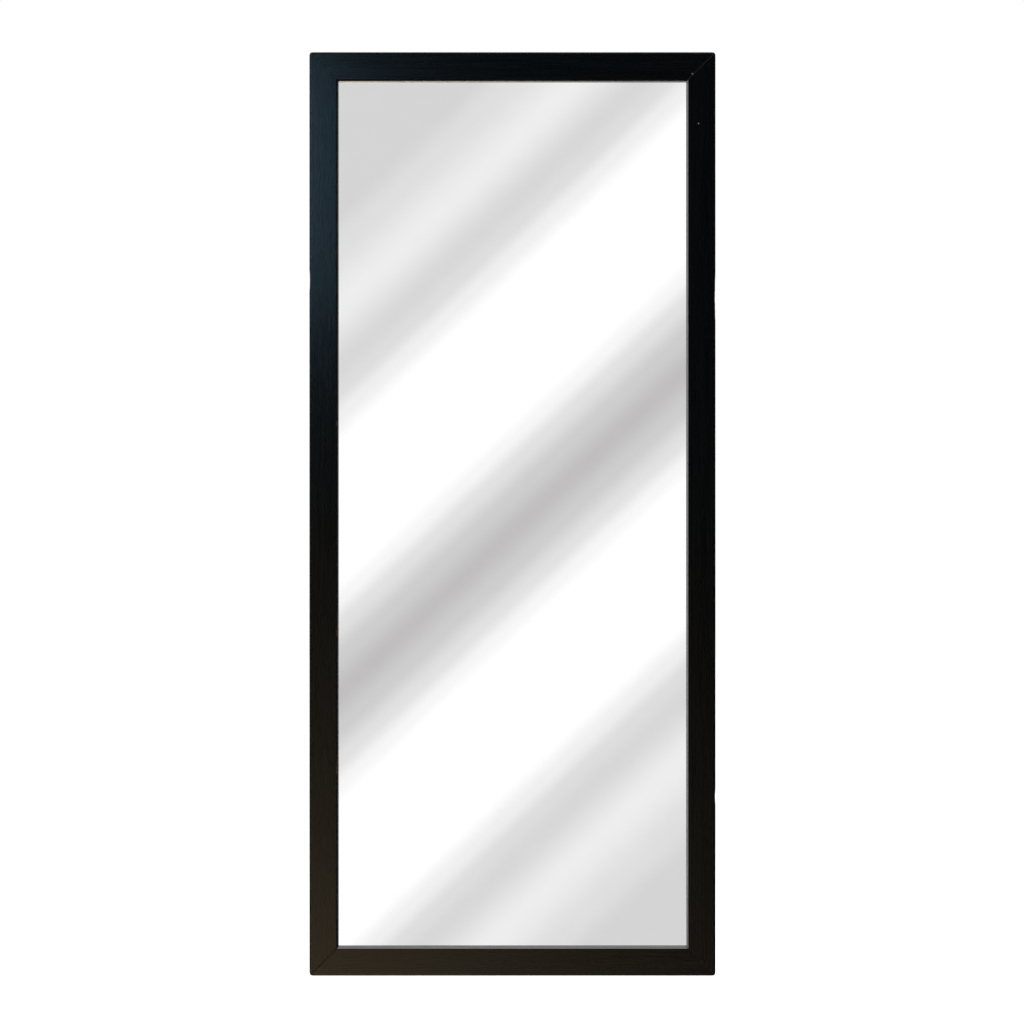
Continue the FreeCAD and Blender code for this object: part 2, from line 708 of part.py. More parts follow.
def frame_bracket(ear_bottom):
    """A folded bracket: the flange is screwed to the stile, the ear turns on the pivot bolt."""
    radius = FRAME_EAR_RADIUS
    flange_out = FRAME_BACK_OUT - BRACKET_GAUGE / 2
    ear_middle = ear_bottom + BRACKET_GAUGE / 2
    fold = BRACKET_BEND_RADIUS + BRACKET_GAUGE / 2
    path = [
        ("point", (flange_out, ear_bottom + FRAME_FLANGE_HEIGHT)),
        arc((flange_out - fold, ear_middle + fold), fold, 0, -90),
        ("point", (PIVOT_OUT, ear_middle)),
    ]
    left = PIVOT_X - radius
    strip = strip_face(path, BRACKET_GAUGE, lambda out, z: at(left, out, z))
    bracket = strip.extrude(Vector(2 * radius, 0, 0))
    top = ear_bottom + BRACKET_GAUGE
    nose = upright(radius, PIVOT_X, PIVOT_OUT, ear_bottom, top)
    rear_half = block((left, left + 2 * radius), (PIVOT_OUT - radius, PIVOT_OUT), (ear_bottom, top))
    bracket = bracket.fuse(nose.common(rear_half)).removeSplitter()
    bracket = bracket.cut(bolt_hole(ear_bottom, top))
    return bracket.cut(stop_slot(ear_bottom - CUT_OVERRUN, top + CUT_OVERRUN))


def pivot_bolt(ear_top):
    """Button-head bolt from the frame's ear down through the bush, washer and nut."""
    seat = ear_top + FRAME_EAR_LIFT + BRACKET_GAUGE
    below = BRACKET_GAUGE + PIVOT_GAP + WASHER_HEIGHT + NUT_HEIGHT + BOLT_TAIL
    shank = seat - ear_top + below
    outline = [
        (0, -shank),
        (BOLT_RADIUS, -shank),
        (BOLT_RADIUS, 0),
        (BOLT_HEAD_RADIUS, 0),
        (BOLT_HEAD_RADIUS, BOLT_HEAD_HEIGHT - BOLT_CHAMFER),
        (BOLT_HEAD_RADIUS - BOLT_CHAMFER, BOLT_HEAD_HEIGHT),
        (0, BOLT_HEAD_HEIGHT),
    ]
    bolt = turned(outline, at(PIVOT_X, PIVOT_OUT, seat))
    socket_base = at(PIVOT_X, PIVOT_OUT, seat + BOLT_HEAD_HEIGHT - BOLT_SOCKET_DEPTH)
    return bolt.cut(hexagon(BOLT_SOCKET_RADIUS, socket_base, BOLT_SOCKET_DEPTH + CUT_OVERRUN))


def hexagon(across_corners_radius, base, height):
    """A hexagonal bar along Z."""
    corners = []
    for index in range(7):
        x, y = on_circle((base.x, base.y), across_corners_radius, 60 * index)
        corners.append(Vector(x, y, base.z))
    return Part.Face(Part.makePolygon(corners)).extrude(Vector(0, 0, height))


def thrust_washer(ear_top):
    """Nylon washer between the underside of the carriage ear and the nut."""
    top = ear_top - BRACKET_GAUGE - PIVOT_GAP
    bottom = top - WASHER_HEIGHT
    ring = upright(WASHER_RADIUS, PIVOT_X, PIVOT_OUT, bottom, top)
    return ring.cut(bolt_hole(bottom, top))


def pivot_nut(ear_top):
    """Lock nut under the thrust washer."""
    top = ear_top - BRACKET_GAUGE - PIVOT_GAP - WASHER_HEIGHT
    corner = NUT_ACROSS_FLATS / math.sqrt(3)
    nut = hexagon(corner, at(PIVOT_X, PIVOT_OUT, top - NUT_HEIGHT), NUT_HEIGHT)
    return nut.cut(bolt_hole(top - NUT_HEIGHT, top))


# ---------------------------------------------------------------- mirror panel
def moulding(start, along, inward, length):
    """One rail: the moulding's section run along it, then mitred at both ends and eased at the corners."""
    depth = Vector(0, 1, 0)

    def place(across, back):
        return start + inward * across + depth * back

    ease = OUTER_EDGE_RADIUS
    blend = ease * (1 - math.sqrt(0.5))
    rebate_wall = RAIL_WIDTH - REBATE_WIDTH
    corners = [
        place(ease, 0),
        place(RAIL_WIDTH - SIGHT_BEVEL, 0),
        place(RAIL_WIDTH, SIGHT_BEVEL),
        place(RAIL_WIDTH, LIP_DEPTH),
        place(rebate_wall, LIP_DEPTH),
        place(rebate_wall, FRAME_DEPTH),
        place(0, FRAME_DEPTH),
        place(0, ease),
    ]
    edges = [Part.LineSegment(a, b).toShape() for a, b in zip(corners, corners[1:])]
    edges.append(Part.Arc(place(0, ease), place(blend, blend), place(ease, 0)).toShape())
    rail = Part.Face(Part.Wire(edges)).extrude(along * length)
    mitre = Part.makePolygon(
        [
            start,
            start + along * length,
            start + along * (length - RAIL_WIDTH) + inward * RAIL_WIDTH,
            start + along * RAIL_WIDTH + inward * RAIL_WIDTH,
            start,
        ]
    )
    rail = rail.common(Part.Face(mitre).extrude(depth * FRAME_DEPTH))
    return rail.common(eased_outline())


def eased_outline():
    """The panel's outline with its four plan corners rounded over."""
    slab = block(
        (PANEL_LEFT, PANEL_RIGHT),
        (FRAME_BACK_OUT - CUT_OVERRUN, FRAME_FRONT_OUT + CUT_OVERRUN),
        (-PANEL_TOP, PANEL_TOP),
    )
    corners = [edge for edge in slab.Edges if abs(edge.tangentAt(edge.FirstParameter).y) > 0.9]
    return slab.makeFillet(PLAN_CORNER_RADIUS, corners)


def frame_rails():
    """The four mitred rails, slotted for the corner nails and the glazing points."""
    x = {"left": PANEL_LEFT, "right": PANEL_RIGHT}
    right, up = Vector(1, 0, 0), Vector(0, 0, 1)
    rails = {
        "left_stile": moulding(at(x["left"], FRAME_FRONT_OUT, -PANEL_TOP), up, right, PANEL_HEIGHT),
        "right_stile": moulding(at(x["right"], FRAME_FRONT_OUT, -PANEL_TOP), up, -right, PANEL_HEIGHT),
        "top_rail": moulding(at(x["left"], FRAME_FRONT_OUT, PANEL_TOP), right, -up, PANEL_WIDTH),
        "bottom_rail": moulding(at(x["left"], FRAME_FRONT_OUT, -PANEL_TOP), right, up, PANEL_WIDTH),
    }
    driven = corner_nails() + glazing_points()
    for name, rail in rails.items():
        for tool in driven:
            if rail.BoundBox.intersect(tool.BoundBox) and rail.common(tool).Volume > 0:
                rail = rail.cut(tool)
        rails[name] = rail
    return rails


def corner_nails():
    """V nails across the mitres, driven flush into the back of the frame."""
    last_inset = RAIL_WIDTH - REBATE_WIDTH - NAIL_LEG - NAIL_REBATE_MARGIN
    nails = []
    for x, z, x_in, z_in in (
        (PANEL_LEFT, PANEL_TOP, 1, -1),
        (PANEL_RIGHT, PANEL_TOP, -1, -1),
        (PANEL_LEFT, -PANEL_TOP, 1, 1),
        (PANEL_RIGHT, -PANEL_TOP, -1, 1),
    ):
        for inset in (NAIL_FIRST_INSET, last_inset):
            apex = (x + x_in * inset, z + z_in * inset)
            leg, wall = NAIL_LEG, NAIL_GAUGE
            outline = [(0, 0), (leg, 0), (leg, wall), (wall, wall), (wall, leg), (0, leg), (0, 0)]
            points = [
                at(apex[0] + x_in * across, FRAME_BACK_OUT + NAIL_HEIGHT, apex[1] + z_in * down)
                for across, down in outline
            ]
            nails.append(Part.Face(Part.makePolygon(points)).extrude(Vector(0, NAIL_HEIGHT, 0)))
    return nails


def pane(thickness, back_out, arris):
    """A sheet that drops into the rebate with the fitting clearance all round."""
    margin = RAIL_WIDTH - REBATE_WIDTH + REBATE_CLEARANCE
    sheet = block(
        (PANEL_LEFT + margin, PANEL_RIGHT - margin),
        (back_out, back_out + thickness),
        (-PANEL_TOP + margin, PANEL_TOP - margin),
    )
    if arris > 0:
        sheet = sheet.makeChamfer(arris, sheet.Edges)
    return sheet


def spread(half_run, count):
    """Places spaced evenly from -half_run to half_run."""
    return [half_run * (2 * index / (count - 1) - 1) for index in range(count)]


def glazing_points():
    """Thin steel points, driven into the rebate's wall so that they lie on the backing board."""
    edge = RAIL_WIDTH - REBATE_WIDTH
    half_height = PANEL_TOP - edge
    half_width = PANEL_WIDTH / 2 - edge
    centre = (PANEL_LEFT + PANEL_RIGHT) / 2
    points = []
    for z in spread(half_height - POINT_END_INSET, POINTS_PER_STILE):
        points.append(glazing_point(centre - half_width, z, -1, 0))
        points.append(glazing_point(centre + half_width, z, 1, 0))
    for offset in spread(half_width - POINT_END_INSET, POINTS_PER_RAIL):
        points.append(glazing_point(centre + offset, half_height, 0, 1))
        points.append(glazing_point(centre + offset, -half_height, 0, -1))
    return points


def glazing_point(x, z, x_into, z_into):
    """One point, driven into the rebate's wall at (x, z) in the direction given."""
    half = POINT_WIDTH / 2
    outline = [
        (-POINT_PROUD, -half),
        (POINT_BURIED - POINT_TIP, -half),
        (POINT_BURIED, 0),
        (POINT_BURIED - POINT_TIP, half),
        (-POINT_PROUD, half),
    ]
    corners = [
        at(x + x_into * ahead + z_into * aside, BACKING_BACK_OUT, z + z_into * ahead + x_into * aside)
        for ahead, aside in outline
    ]
    return polygon(corners).extrude(Vector(0, POINT_GAUGE, 0))


def build():
    """Every node of the assembly, by name."""
    levels = SLIDE_LEVELS.values()
    ear_tops = CARRIAGE_EAR_TOPS.values()
    nodes = {}
    for side, level in SLIDE_LEVELS.items():
        nodes[f"{side}_outer_member"] = outer_member(level)
        nodes[f"{side}_middle_member"] = middle_member(level)
        nodes[f"{side}_inner_member"] = inner_member(level)
        nodes[f"{side}_outer_cage"] = outer_cage(level)
        nodes[f"{side}_inner_cage"] = inner_cage(level)
        nodes[f"{side}_rest_bracket"] = rest_bracket(level)
        nodes[f"{side}_pivot_bracket"] = pivot_bracket(side)
        nodes[f"{side}_frame_bracket"] = frame_bracket(CARRIAGE_EAR_TOPS[side] + FRAME_EAR_LIFT)
    nodes["rear_buffers"] = group([rear_buffer(level) for level in levels])
    nodes["outer_cage_balls"] = balls(OUTER_RACE)
    nodes["inner_cage_balls"] = balls(INNER_RACE)
    nodes["carriage_post"] = carriage_post()
    nodes["rest_bumpers"] = group([rest_bumper(level) for level in levels])
    nodes["pivot_bushes"] = group([bush(top) for top in ear_tops])
    nodes["stop_pins"] = group([stop_pin(top) for top in ear_tops])
    nodes["pivot_bolts"] = group([pivot_bolt(top) for top in ear_tops])
    nodes["thrust_washers"] = group([thrust_washer(top) for top in ear_tops])
    nodes["pivot_nuts"] = group([pivot_nut(top) for top in ear_tops])
    nodes.update(frame_rails())
    nodes["corner_nails"] = group(corner_nails())
    nodes["mirror_glass"] = pane(GLASS_THICKNESS, GLASS_BACK_OUT, GLASS_ARRIS)
    nodes["backing_board"] = pane(BACKING_THICKNESS, BACKING_BACK_OUT, 0)
    nodes["glazing_points"] = group(glazing_points())
    return nodes


os.makedirs("parts", exist_ok=True)
for name, shape in build().items():
    shape.exportStep(f"parts/{name}.step")
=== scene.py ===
"""Looks of a pull-out closet mirror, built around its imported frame.

The frame is loaded first, and every piece rides on one of its bodies. The axes are the frame's own: +X is
the pull-out direction, -Y is where the glass faces and +Z is up. Places are in metres. The sizes of pieces
and patterns are in millimetres, and MM turns them into metres.
"""

import logging
import math
from collections.abc import Sequence
from dataclasses import dataclass, field
from enum import Enum

import bmesh
import bpy
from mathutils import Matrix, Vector, noise

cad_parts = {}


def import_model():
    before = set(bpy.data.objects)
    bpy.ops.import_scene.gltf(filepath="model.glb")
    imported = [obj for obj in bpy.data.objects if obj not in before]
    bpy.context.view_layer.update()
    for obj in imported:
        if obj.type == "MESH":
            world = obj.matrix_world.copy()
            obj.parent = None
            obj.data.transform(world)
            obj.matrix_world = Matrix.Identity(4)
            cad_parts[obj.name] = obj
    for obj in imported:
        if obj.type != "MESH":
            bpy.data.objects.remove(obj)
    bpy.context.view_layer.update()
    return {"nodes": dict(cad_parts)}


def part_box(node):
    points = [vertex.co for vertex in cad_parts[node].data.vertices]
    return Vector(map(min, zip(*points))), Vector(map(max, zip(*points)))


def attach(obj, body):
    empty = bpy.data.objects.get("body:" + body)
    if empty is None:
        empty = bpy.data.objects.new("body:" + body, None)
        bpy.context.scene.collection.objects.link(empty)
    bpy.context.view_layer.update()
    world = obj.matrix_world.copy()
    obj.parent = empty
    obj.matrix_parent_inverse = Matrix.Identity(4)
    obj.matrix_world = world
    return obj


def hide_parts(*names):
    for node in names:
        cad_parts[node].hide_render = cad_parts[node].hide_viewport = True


LOG = logging.getLogger("closet_mirror")
MM = 0.001
# The moulding's UV map and wear attribute, which its finishes read.
MOULDING_UV = "moulding"
EDGE_WEAR = "edge_wear"
# Tiny nicks in the lacquer of the top rail and the right stile: along and round the moulding, in the
# millimetres of its UV map.
NICKS_MM = ((4505.3, 51.5), (3124.5, 45.4))
# Noise hardly ever leaves this range, so this is what gets spread over a range of roughness.
NOISE_RANGE = (0.3, 0.7)
# How strong each finer layer of noise is, as a share of the layer before it.
LAYER_SHARE = 0.55
# From this angle on, an edge of a turned piece is sharp.
TURNED_SHARP_DEGREES = 40.0
SIDES = ("upper", "lower")
SQUARE = ((-1, -1), (1, -1), (1, 1), (-1, 1))

Tree = bpy.types.NodeTree
Node = bpy.types.Node
Socket = bpy.types.NodeSocket
Inputs = dict[str | int, object]
Colour = tuple[float, float, float, float]
Point = tuple[float, float, float]
Outline = tuple[tuple[float, float], ...]


# ---------------------------------------------------------------- shared helpers
def linear(hex_colour: str) -> Colour:
    """Turns an sRGB colour into linear values.

    Args:
        hex_colour: Six hex digits.

    Returns:
        Linear red, green, blue and an alpha of one.
    """
    channels = [int(hex_colour[start : start + 2], 16) / 255 for start in (0, 2, 4)]
    red, green, blue = (v / 12.92 if v <= 0.04045 else ((v + 0.055) / 1.055) ** 2.4 for v in channels)
    return (red, green, blue, 1.0)


def grey(value: float) -> Colour:
    """A neutral linear colour."""
    return (value, value, value, 1.0)


def add_node(tree: Tree, kind: str, inputs: Inputs | None = None, **settings: object) -> Node:
    """Adds a node with its settings, values and links.

    Args:
        tree: The tree that takes the node.
        kind: The node's type name.
        inputs: What goes into each input, by its name or number: a value, a socket to link from, or a
            node, of which the first output in use is linked.
        settings: The node's own properties.

    Returns:
        The new node.
    """
    node = tree.nodes.new(kind)
    for name, value in settings.items():
        setattr(node, name, value)
    for key, value in (inputs or {}).items():
        if isinstance(value, Node):
            value = next(socket for socket in value.outputs if socket.enabled)
        if isinstance(value, Socket):
            tree.links.new(value, node.inputs[key])
        else:
            node.inputs[key].default_value = value
    return node


def set_ramp(node: Node, stops: Sequence[tuple[float, Colour]], blend: str = "LINEAR") -> None:
    """Gives a colour ramp its stops.

    Args:
        node: The ramp node.
        stops: Pairs of position and linear colour.
        blend: How the ramp blends between stops.
    """
    ramp = node.color_ramp
    ramp.interpolation = blend
    while len(ramp.elements) < len(stops):
        ramp.elements.new(1.0)
    for element, (position, colour) in zip(ramp.elements, stops):
        element.position = position
        element.color = colour


def empty_material(name: str) -> bpy.types.Material:
    """A new material whose tree has no nodes."""
    material = bpy.data.materials.new(name)
    material.use_nodes = True
    material.node_tree.nodes.clear()
    return material


def add_object(name: str, data: bpy.types.ID) -> bpy.types.Object:
    """Puts a mesh, lamp or camera into the scene, at the origin."""
    item = bpy.data.objects.new(name, data)
    bpy.context.scene.collection.objects.link(item)
    return item


def finish_mesh(name: str, drawn: bmesh.types.BMesh, sharp_degrees: float | None = None) -> bpy.types.Mesh:
    """Turns what was drawn into a mesh with its faces outwards.

    Args:
        name: The mesh's name.
        drawn: The drawing, which is freed.
        sharp_degrees: From which angle on an edge is sharp, if any is.

    Returns:
        The mesh.
    """
    bmesh.ops.recalc_face_normals(drawn, faces=drawn.faces)
    data = bpy.data.meshes.new(name)
    drawn.to_mesh(data)
    drawn.free()
    if sharp_degrees is not None:
        data.set_sharp_from_angle(angle=math.radians(sharp_degrees))
    return data


def apply_modifiers(piece: bpy.types.Object) -> None:
    """Gives a piece the mesh that its modifiers make, and removes them."""
    bpy.context.view_layer.update()
    evaluated = piece.evaluated_get(bpy.context.evaluated_depsgraph_get())
    result = bpy.data.meshes.new_from_object(evaluated)
    piece.modifiers.clear()
    piece.data = result


# ---------------------------------------------------------------- finishes
class Follows(Enum):
    """What a finish's pattern follows."""

    PLACE = "the piece's own coordinates"
    MOULDING = "the run of a moulding, through its UV map"


@dataclass(frozen=True)
class Finish:
    """A real finish: two tones mottled by grain and slow clouds, a range of gloss and a fine relief.

    The scales are real sizes in millimetres, measured along X, Y and Z of whatever the pattern follows.
    """

    name: str
    light: str
    dark: str
    roughness: tuple[float, float]
    grain_mm: Point = (1.0, 1.0, 1.0)
    grain_detail: float = 3.0
    cloud_mm: Point = (60.0, 60.0, 60.0)
    cloud_detail: float = 2.0
    cloud_share: float = 0.35
    tone_range: tuple[float, float] = (0.32, 0.68)
    bump_mm: float = 0.05
    bump_strength: float = 0.3
    metallic: float = 0.0
    specular: float = 0.5
    follows: Follows = Follows.PLACE

    def material(self) -> bpy.types.Material:
        """Builds the material once and returns it.

        Returns:
            The finish's material.
        """
        known = bpy.data.materials.get(self.name)
        if known is not None:
            return known
        material = empty_material(self.name)
        material.diffuse_color = linear(self.light)
        tree = material.node_tree
        even = {"Metallic": self.metallic, "Specular IOR Level": self.specular}
        shader = add_node(tree, "ShaderNodeBsdfPrincipled", even | self.pattern(tree))
        add_node(tree, "ShaderNodeOutputMaterial", {"Surface": shader})
        return material

    def pattern(self, tree: Tree) -> Inputs:
        """Adds the nodes for colour, gloss and relief.

        Args:
            tree: The material's tree.

        Returns:
            What goes into the shader's inputs, by their names.
        """
        if self.follows is Follows.MOULDING:
            source = add_node(tree, "ShaderNodeUVMap", uv_map=MOULDING_UV).outputs["UV"]
        else:
            source = add_node(tree, "ShaderNodeTexCoord").outputs["Object"]
        place = add_node(tree, "ShaderNodeVectorMath", {0: source, "Scale": 1 / MM}, operation="SCALE")
        grain = self.noise_at(tree, place, self.grain_mm, self.grain_detail)
        cloud = self.noise_at(tree, place, self.cloud_mm, self.cloud_detail)
        shares = {"Factor": self.cloud_share, "A": grain, "B": cloud}
        mottle = add_node(tree, "ShaderNodeMix", shares, data_type="FLOAT")
        tone = add_node(tree, "ShaderNodeValToRGB", {"Fac": mottle})
        low, high = self.tone_range
        set_ramp(tone, ((low, linear(self.dark)), (high, linear(self.light))))
        colour, height = self.aged(tree, place, tone, grain)
        inputs: Inputs = {"Base Color": colour}
        glossy, dull = self.roughness
        if glossy == dull:
            inputs["Roughness"] = glossy
        else:
            low, high = NOISE_RANGE
            spread = {"Value": mottle, "From Min": low, "From Max": high, "To Min": glossy, "To Max": dull}
            inputs["Roughness"] = add_node(tree, "ShaderNodeMapRange", spread)
        if self.bump_strength > 0.0:
            relief = {"Height": height, "Distance": self.bump_mm * MM, "Strength": self.bump_strength}
            inputs["Normal"] = add_node(tree, "ShaderNodeBump", relief)
        return inputs

    def noise_at(self, tree: Tree, place: Node, size: Point, detail: float) -> Node:
        """Noise whose features have the given size.

        Args:
            tree: The material's tree.
            place: Coordinates in millimetres.
            size: The size of a feature along each axis, in millimetres.
            detail: How many finer layers are added.

        Returns:
            The noise, about 0.5 on average.
        """
        divided = add_node(tree, "ShaderNodeVectorMath", {0: place, 1: size}, operation="DIVIDE")
        inputs = {"Vector": divided, "Scale": 1.0, "Detail": detail, "Roughness": LAYER_SHARE}
        return add_node(tree, "ShaderNodeTexNoise", inputs)

    def aged(self, tree: Tree, place: Node, tone: Node, grain: Node) -> tuple[Node, Node]:
        """The colour and the relief after use, which leaves a plain finish as it is."""
        return tone, grain


@dataclass(frozen=True)
class StainedWood(Finish):
    """Straight-grained wood under a dark stain, rubbed off at edges and chipped off at nicks."""

    follows: Follows = Follows.MOULDING
    grain_detail: float = 4.0
    tone_range: tuple[float, float] = (0.36, 0.66)
    pore_mm: Point = (14.0, 0.5, 0.5)
    pore_detail: float = 2.0
    bare: str = "3f281d"
    chip_mm: Point = (3.0, 1.4, 1.4)
    chip_detail: float = 3.0
    worn_range: tuple[float, float] = (1.17, 1.37)
    nick: str = "7c7b7c"
    nick_radius_mm: float = 0.85
    nick_edge_mm: Point = (0.7, 0.7, 0.7)
    nick_edge_detail: float = 1.0

    def aged(self, tree: Tree, place: Node, tone: Node, grain: Node) -> tuple[Node, Node]:
        """Bares the wood where the moulding is worn, whitens nicks, and opens the pores.

        Args:
            tree: The material's tree.
            place: Coordinates in millimetres.
            tone: The colour of the stain.
            grain: The grain in that colour.

        Returns:
            The colour and the relief.
        """
        wear = add_node(tree, "ShaderNodeAttribute", attribute_name=EDGE_WEAR).outputs["Fac"]
        chips = self.noise_at(tree, place, self.chip_mm, self.chip_detail)
        ragged_wear = add_node(tree, "ShaderNodeMath", {0: wear, 1: chips}, operation="ADD")
        low, high = self.worn_range
        edge = {"Value": ragged_wear, "From Min": low, "From Max": high}
        worn = add_node(tree, "ShaderNodeMapRange", edge, interpolation_type="SMOOTHSTEP")
        colour: Node = tone
        for share, under in ((worn, self.bare), (self.nicked(tree, place), self.nick)):
            shares = {"Factor": share, "A": colour, "B": linear(under)}
            colour = add_node(tree, "ShaderNodeMix", shares, data_type="RGBA")
        pores = self.noise_at(tree, place, self.pore_mm, self.pore_detail)
        return colour, add_node(tree, "ShaderNodeMath", {0: pores, 1: worn}, operation="SUBTRACT")

    def nicked(self, tree: Tree, place: Node) -> Node:
        """Where the lacquer has a tiny pale nick.

        Args:
            tree: The material's tree.
            place: Coordinates in millimetres.

        Returns:
            1 inside a nick, 0 elsewhere.
        """
        ragged = self.noise_at(tree, place, self.nick_edge_mm, self.nick_edge_detail)
        edge = add_node(tree, "ShaderNodeMath", {0: ragged, 1: 2 * self.nick_radius_mm}, operation="MULTIPLY")
        first, second = (
            add_node(tree, "ShaderNodeVectorMath", {0: place, 1: (*nick, 0.0)}, operation="DISTANCE")
            for nick in NICKS_MM
        )
        nearest = add_node(tree, "ShaderNodeMath", {0: first, 1: second}, operation="MINIMUM")
        return add_node(tree, "ShaderNodeMath", {0: nearest, 1: edge}, operation="LESS_THAN")


# Maple or beech moulding, dyed black and sprayed with a thin satin lacquer: near black, with fine grain
# streaks that catch the light along each rail.
FACE_LACQUER = StainedWood(
    "black_dyed_moulding_satin_lacquer", light="020509", dark="000305", roughness=(0.24, 0.31),
    grain_mm=(110.0, 2.2, 2.2), cloud_mm=(260.0, 14.0, 14.0), bump_mm=0.1, specular=0.22,
)
# The same lacquer where it gathers and is rubbed, on the bevel and the wall beside the glass. It is
# smoother there, so it shows the softboxes as a thin bright line.
SIGHT_EDGE_LACQUER = StainedWood(
    "black_dyed_moulding_rubbed_sight_edge", light="0a0b0d", dark="050607", roughness=(0.16, 0.24),
    grain_mm=(90.0, 1.6, 1.6), cloud_mm=(260.0, 14.0, 14.0), bump_strength=0.2,
)
# The outer edge gets only the overspray of the face: a thinner, flatter coat, through which grain shows. Its
# lighter brown tone is partly painted light, standing in for light on the sides that no lamp gives.
SIDE_COAT_WITH_PAINTED_LIGHT = StainedWood(
    "black_dyed_moulding_thin_side_coat", light="1b1714", dark="090807", roughness=(0.5, 0.62),
    grain_mm=(120.0, 1.8, 1.8), cloud_mm=(240.0, 9.0, 9.0), bump_mm=0.16, bump_strength=0.4, specular=0.15,
)
# The back of the moulding has one coat of stain and no lacquer: dull brownish black with open grain.
BACK_STAIN = StainedWood(
    "thin_stain_on_bare_moulding_back", light="3a2e25", dark="1b1613", roughness=(0.62, 0.8),
    grain_mm=(70.0, 1.8, 1.8), cloud_mm=(180.0, 12.0, 12.0), bump_mm=0.2, bump_strength=0.5, specular=0.3,
    bare="8a6444",
)
# Float glass silvered on its back: an almost perfect neutral reflector.
SILVERED_GLASS = Finish(
    "silvered_float_glass", light="fbfbfb", dark="f9f9f9", roughness=(0.0, 0.0),
    grain_mm=(25.0, 25.0, 25.0), cloud_mm=(160.0, 160.0, 160.0), bump_strength=0.0, metallic=1.0,
)
# Pressed hardboard, smooth side out: warm brown with short fibres and slow mottling.
HARDBOARD = Finish(
    "pressed_brown_hardboard", light="8f6a4a", dark="6a4d35", roughness=(0.55, 0.75),
    grain_mm=(2.6, 2.6, 2.6), cloud_mm=(90.0, 90.0, 160.0), cloud_share=0.3,
    bump_mm=0.15, bump_strength=0.4, specular=0.3,
)
# Cold-rolled strip with bright zinc plate: drawn streaks along the roll, a faint blue tone, and a haze
# from the passivation that keeps it grey where nothing bright is reflected.
ROLLED_ZINC = Finish(
    "bright_zinc_on_rolled_steel", light="d6d9db", dark="b9bec2", roughness=(0.27, 0.38),
    grain_mm=(60.0, 0.9, 0.9), cloud_mm=(40.0, 18.0, 18.0), cloud_share=0.4,
    bump_mm=0.02, bump_strength=0.12, metallic=0.7,
)
# Small parts plated loose in a barrel: duller zinc with a slight straw tint and fine dings.
BARREL_ZINC = Finish(
    "barrel_plated_zinc_hardware", light="d4cfc2", dark="a8a69c", roughness=(0.28, 0.44),
    grain_mm=(0.9, 0.9, 0.9), cloud_mm=(6.0, 6.0, 6.0), cloud_share=0.4,
    bump_mm=0.03, bump_strength=0.25, metallic=0.8,
)
# Hardened bearing steel, ground and polished, under a film of grease.
BEARING_STEEL = Finish(
    "polished_bearing_steel", light="dcdddd", dark="c4c5c6", roughness=(0.08, 0.16),
    grain_mm=(0.8, 0.8, 0.8), cloud_mm=(4.0, 4.0, 4.0), bump_mm=0.005, bump_strength=0.1, metallic=1.0,
)
# Sprayed and baked powder on folded sheet. The orange peel is drawn at 2 mm, so that it shows.
POWDER_COAT = Finish(
    "black_powder_coat_on_steel_sheet", light="262728", dark="171718", roughness=(0.40, 0.54),
    grain_mm=(2.0, 2.0, 2.0), cloud_mm=(45.0, 45.0, 45.0), bump_mm=0.06, bump_strength=0.35, specular=0.45,
)
# Turned natural nylon: warm white and waxy.
NATURAL_NYLON = Finish(
    "natural_nylon", light="efe9da", dark="ddd5c2", roughness=(0.34, 0.48),
    grain_mm=(1.2, 1.2, 1.2), cloud_mm=(7.0, 7.0, 7.0), bump_mm=0.02, bump_strength=0.2,
)
# Injection-moulded dark grey plastic with a spark-eroded texture.
MOULDED_PLASTIC = Finish(
    "moulded_dark_grey_plastic", light="4a4b4d", dark="36373a", roughness=(0.48, 0.62),
    grain_mm=(0.8, 0.8, 0.8), cloud_mm=(9.0, 9.0, 9.0), bump_strength=0.4,
)
# Moulded black rubber, matt, with a slight bloom.
BLACK_RUBBER = Finish(
    "moulded_black_rubber", light="2a2a2b", dark="171718", roughness=(0.72, 0.88),
    grain_mm=(0.7, 0.7, 0.7), cloud_mm=(5.0, 5.0, 5.0), bump_mm=0.04, bump_strength=0.35, specular=0.3,
)


# ---------------------------------------------------------------- moulded frame
class Zone(Enum):
    """The surfaces of the moulding that take a finish of their own, by material number."""

    FACE = 0
    SIGHT_EDGE = 1
    BACK = 2
    SIDE = 3


ZONE_FINISHES = {
    Zone.FACE: FACE_LACQUER,
    Zone.SIGHT_EDGE: SIGHT_EDGE_LACQUER,
    Zone.BACK: BACK_STAIN,
    Zone.SIDE: SIDE_COAT_WITH_PAINTED_LIGHT,
}


@dataclass(frozen=True)
class ProfilePoint:
    """A point of the moulding's section, in millimetres, with the zone of the surface after it.

    A corner of the section also has the radius that rounds it.
    """

    across: float
    back: float
    zone: Zone
    worn: float = 0.0
    radius: float = 0.0


@dataclass(frozen=True)
class Knock:
    """A place where an edge was knocked: along the rail, in millimetres from its start."""

    along: float
    half_length: float
    depth: float = 0.0
    wear: float = 1.0
    sight_edge: bool = False


@dataclass(frozen=True)
class Run:
    """Where one rail lies: the outer corner that it starts from, its direction, and what is inward.

    Its length and the start of its own stretch of the UV map are in millimetres.
    """

    node: str
    start: Vector
    along: Vector
    inward: Vector
    length: float
    uv_start: float
    knocks: tuple[Knock, ...] = ()


@dataclass(frozen=True)
class Patches:
    """Uneven wear along a rail, in patches as long and wide as given in millimetres."""

    share: float
    long: float
    wide: float
    spread: float
    layer: float

    def at(self, run: Run, along: float, across: float) -> float:
        """The noise at a place of a rail, about zero on average."""
        place = Vector((along / self.long, across / self.wide, self.layer))
        return noise.noise(run.start * self.spread + place)


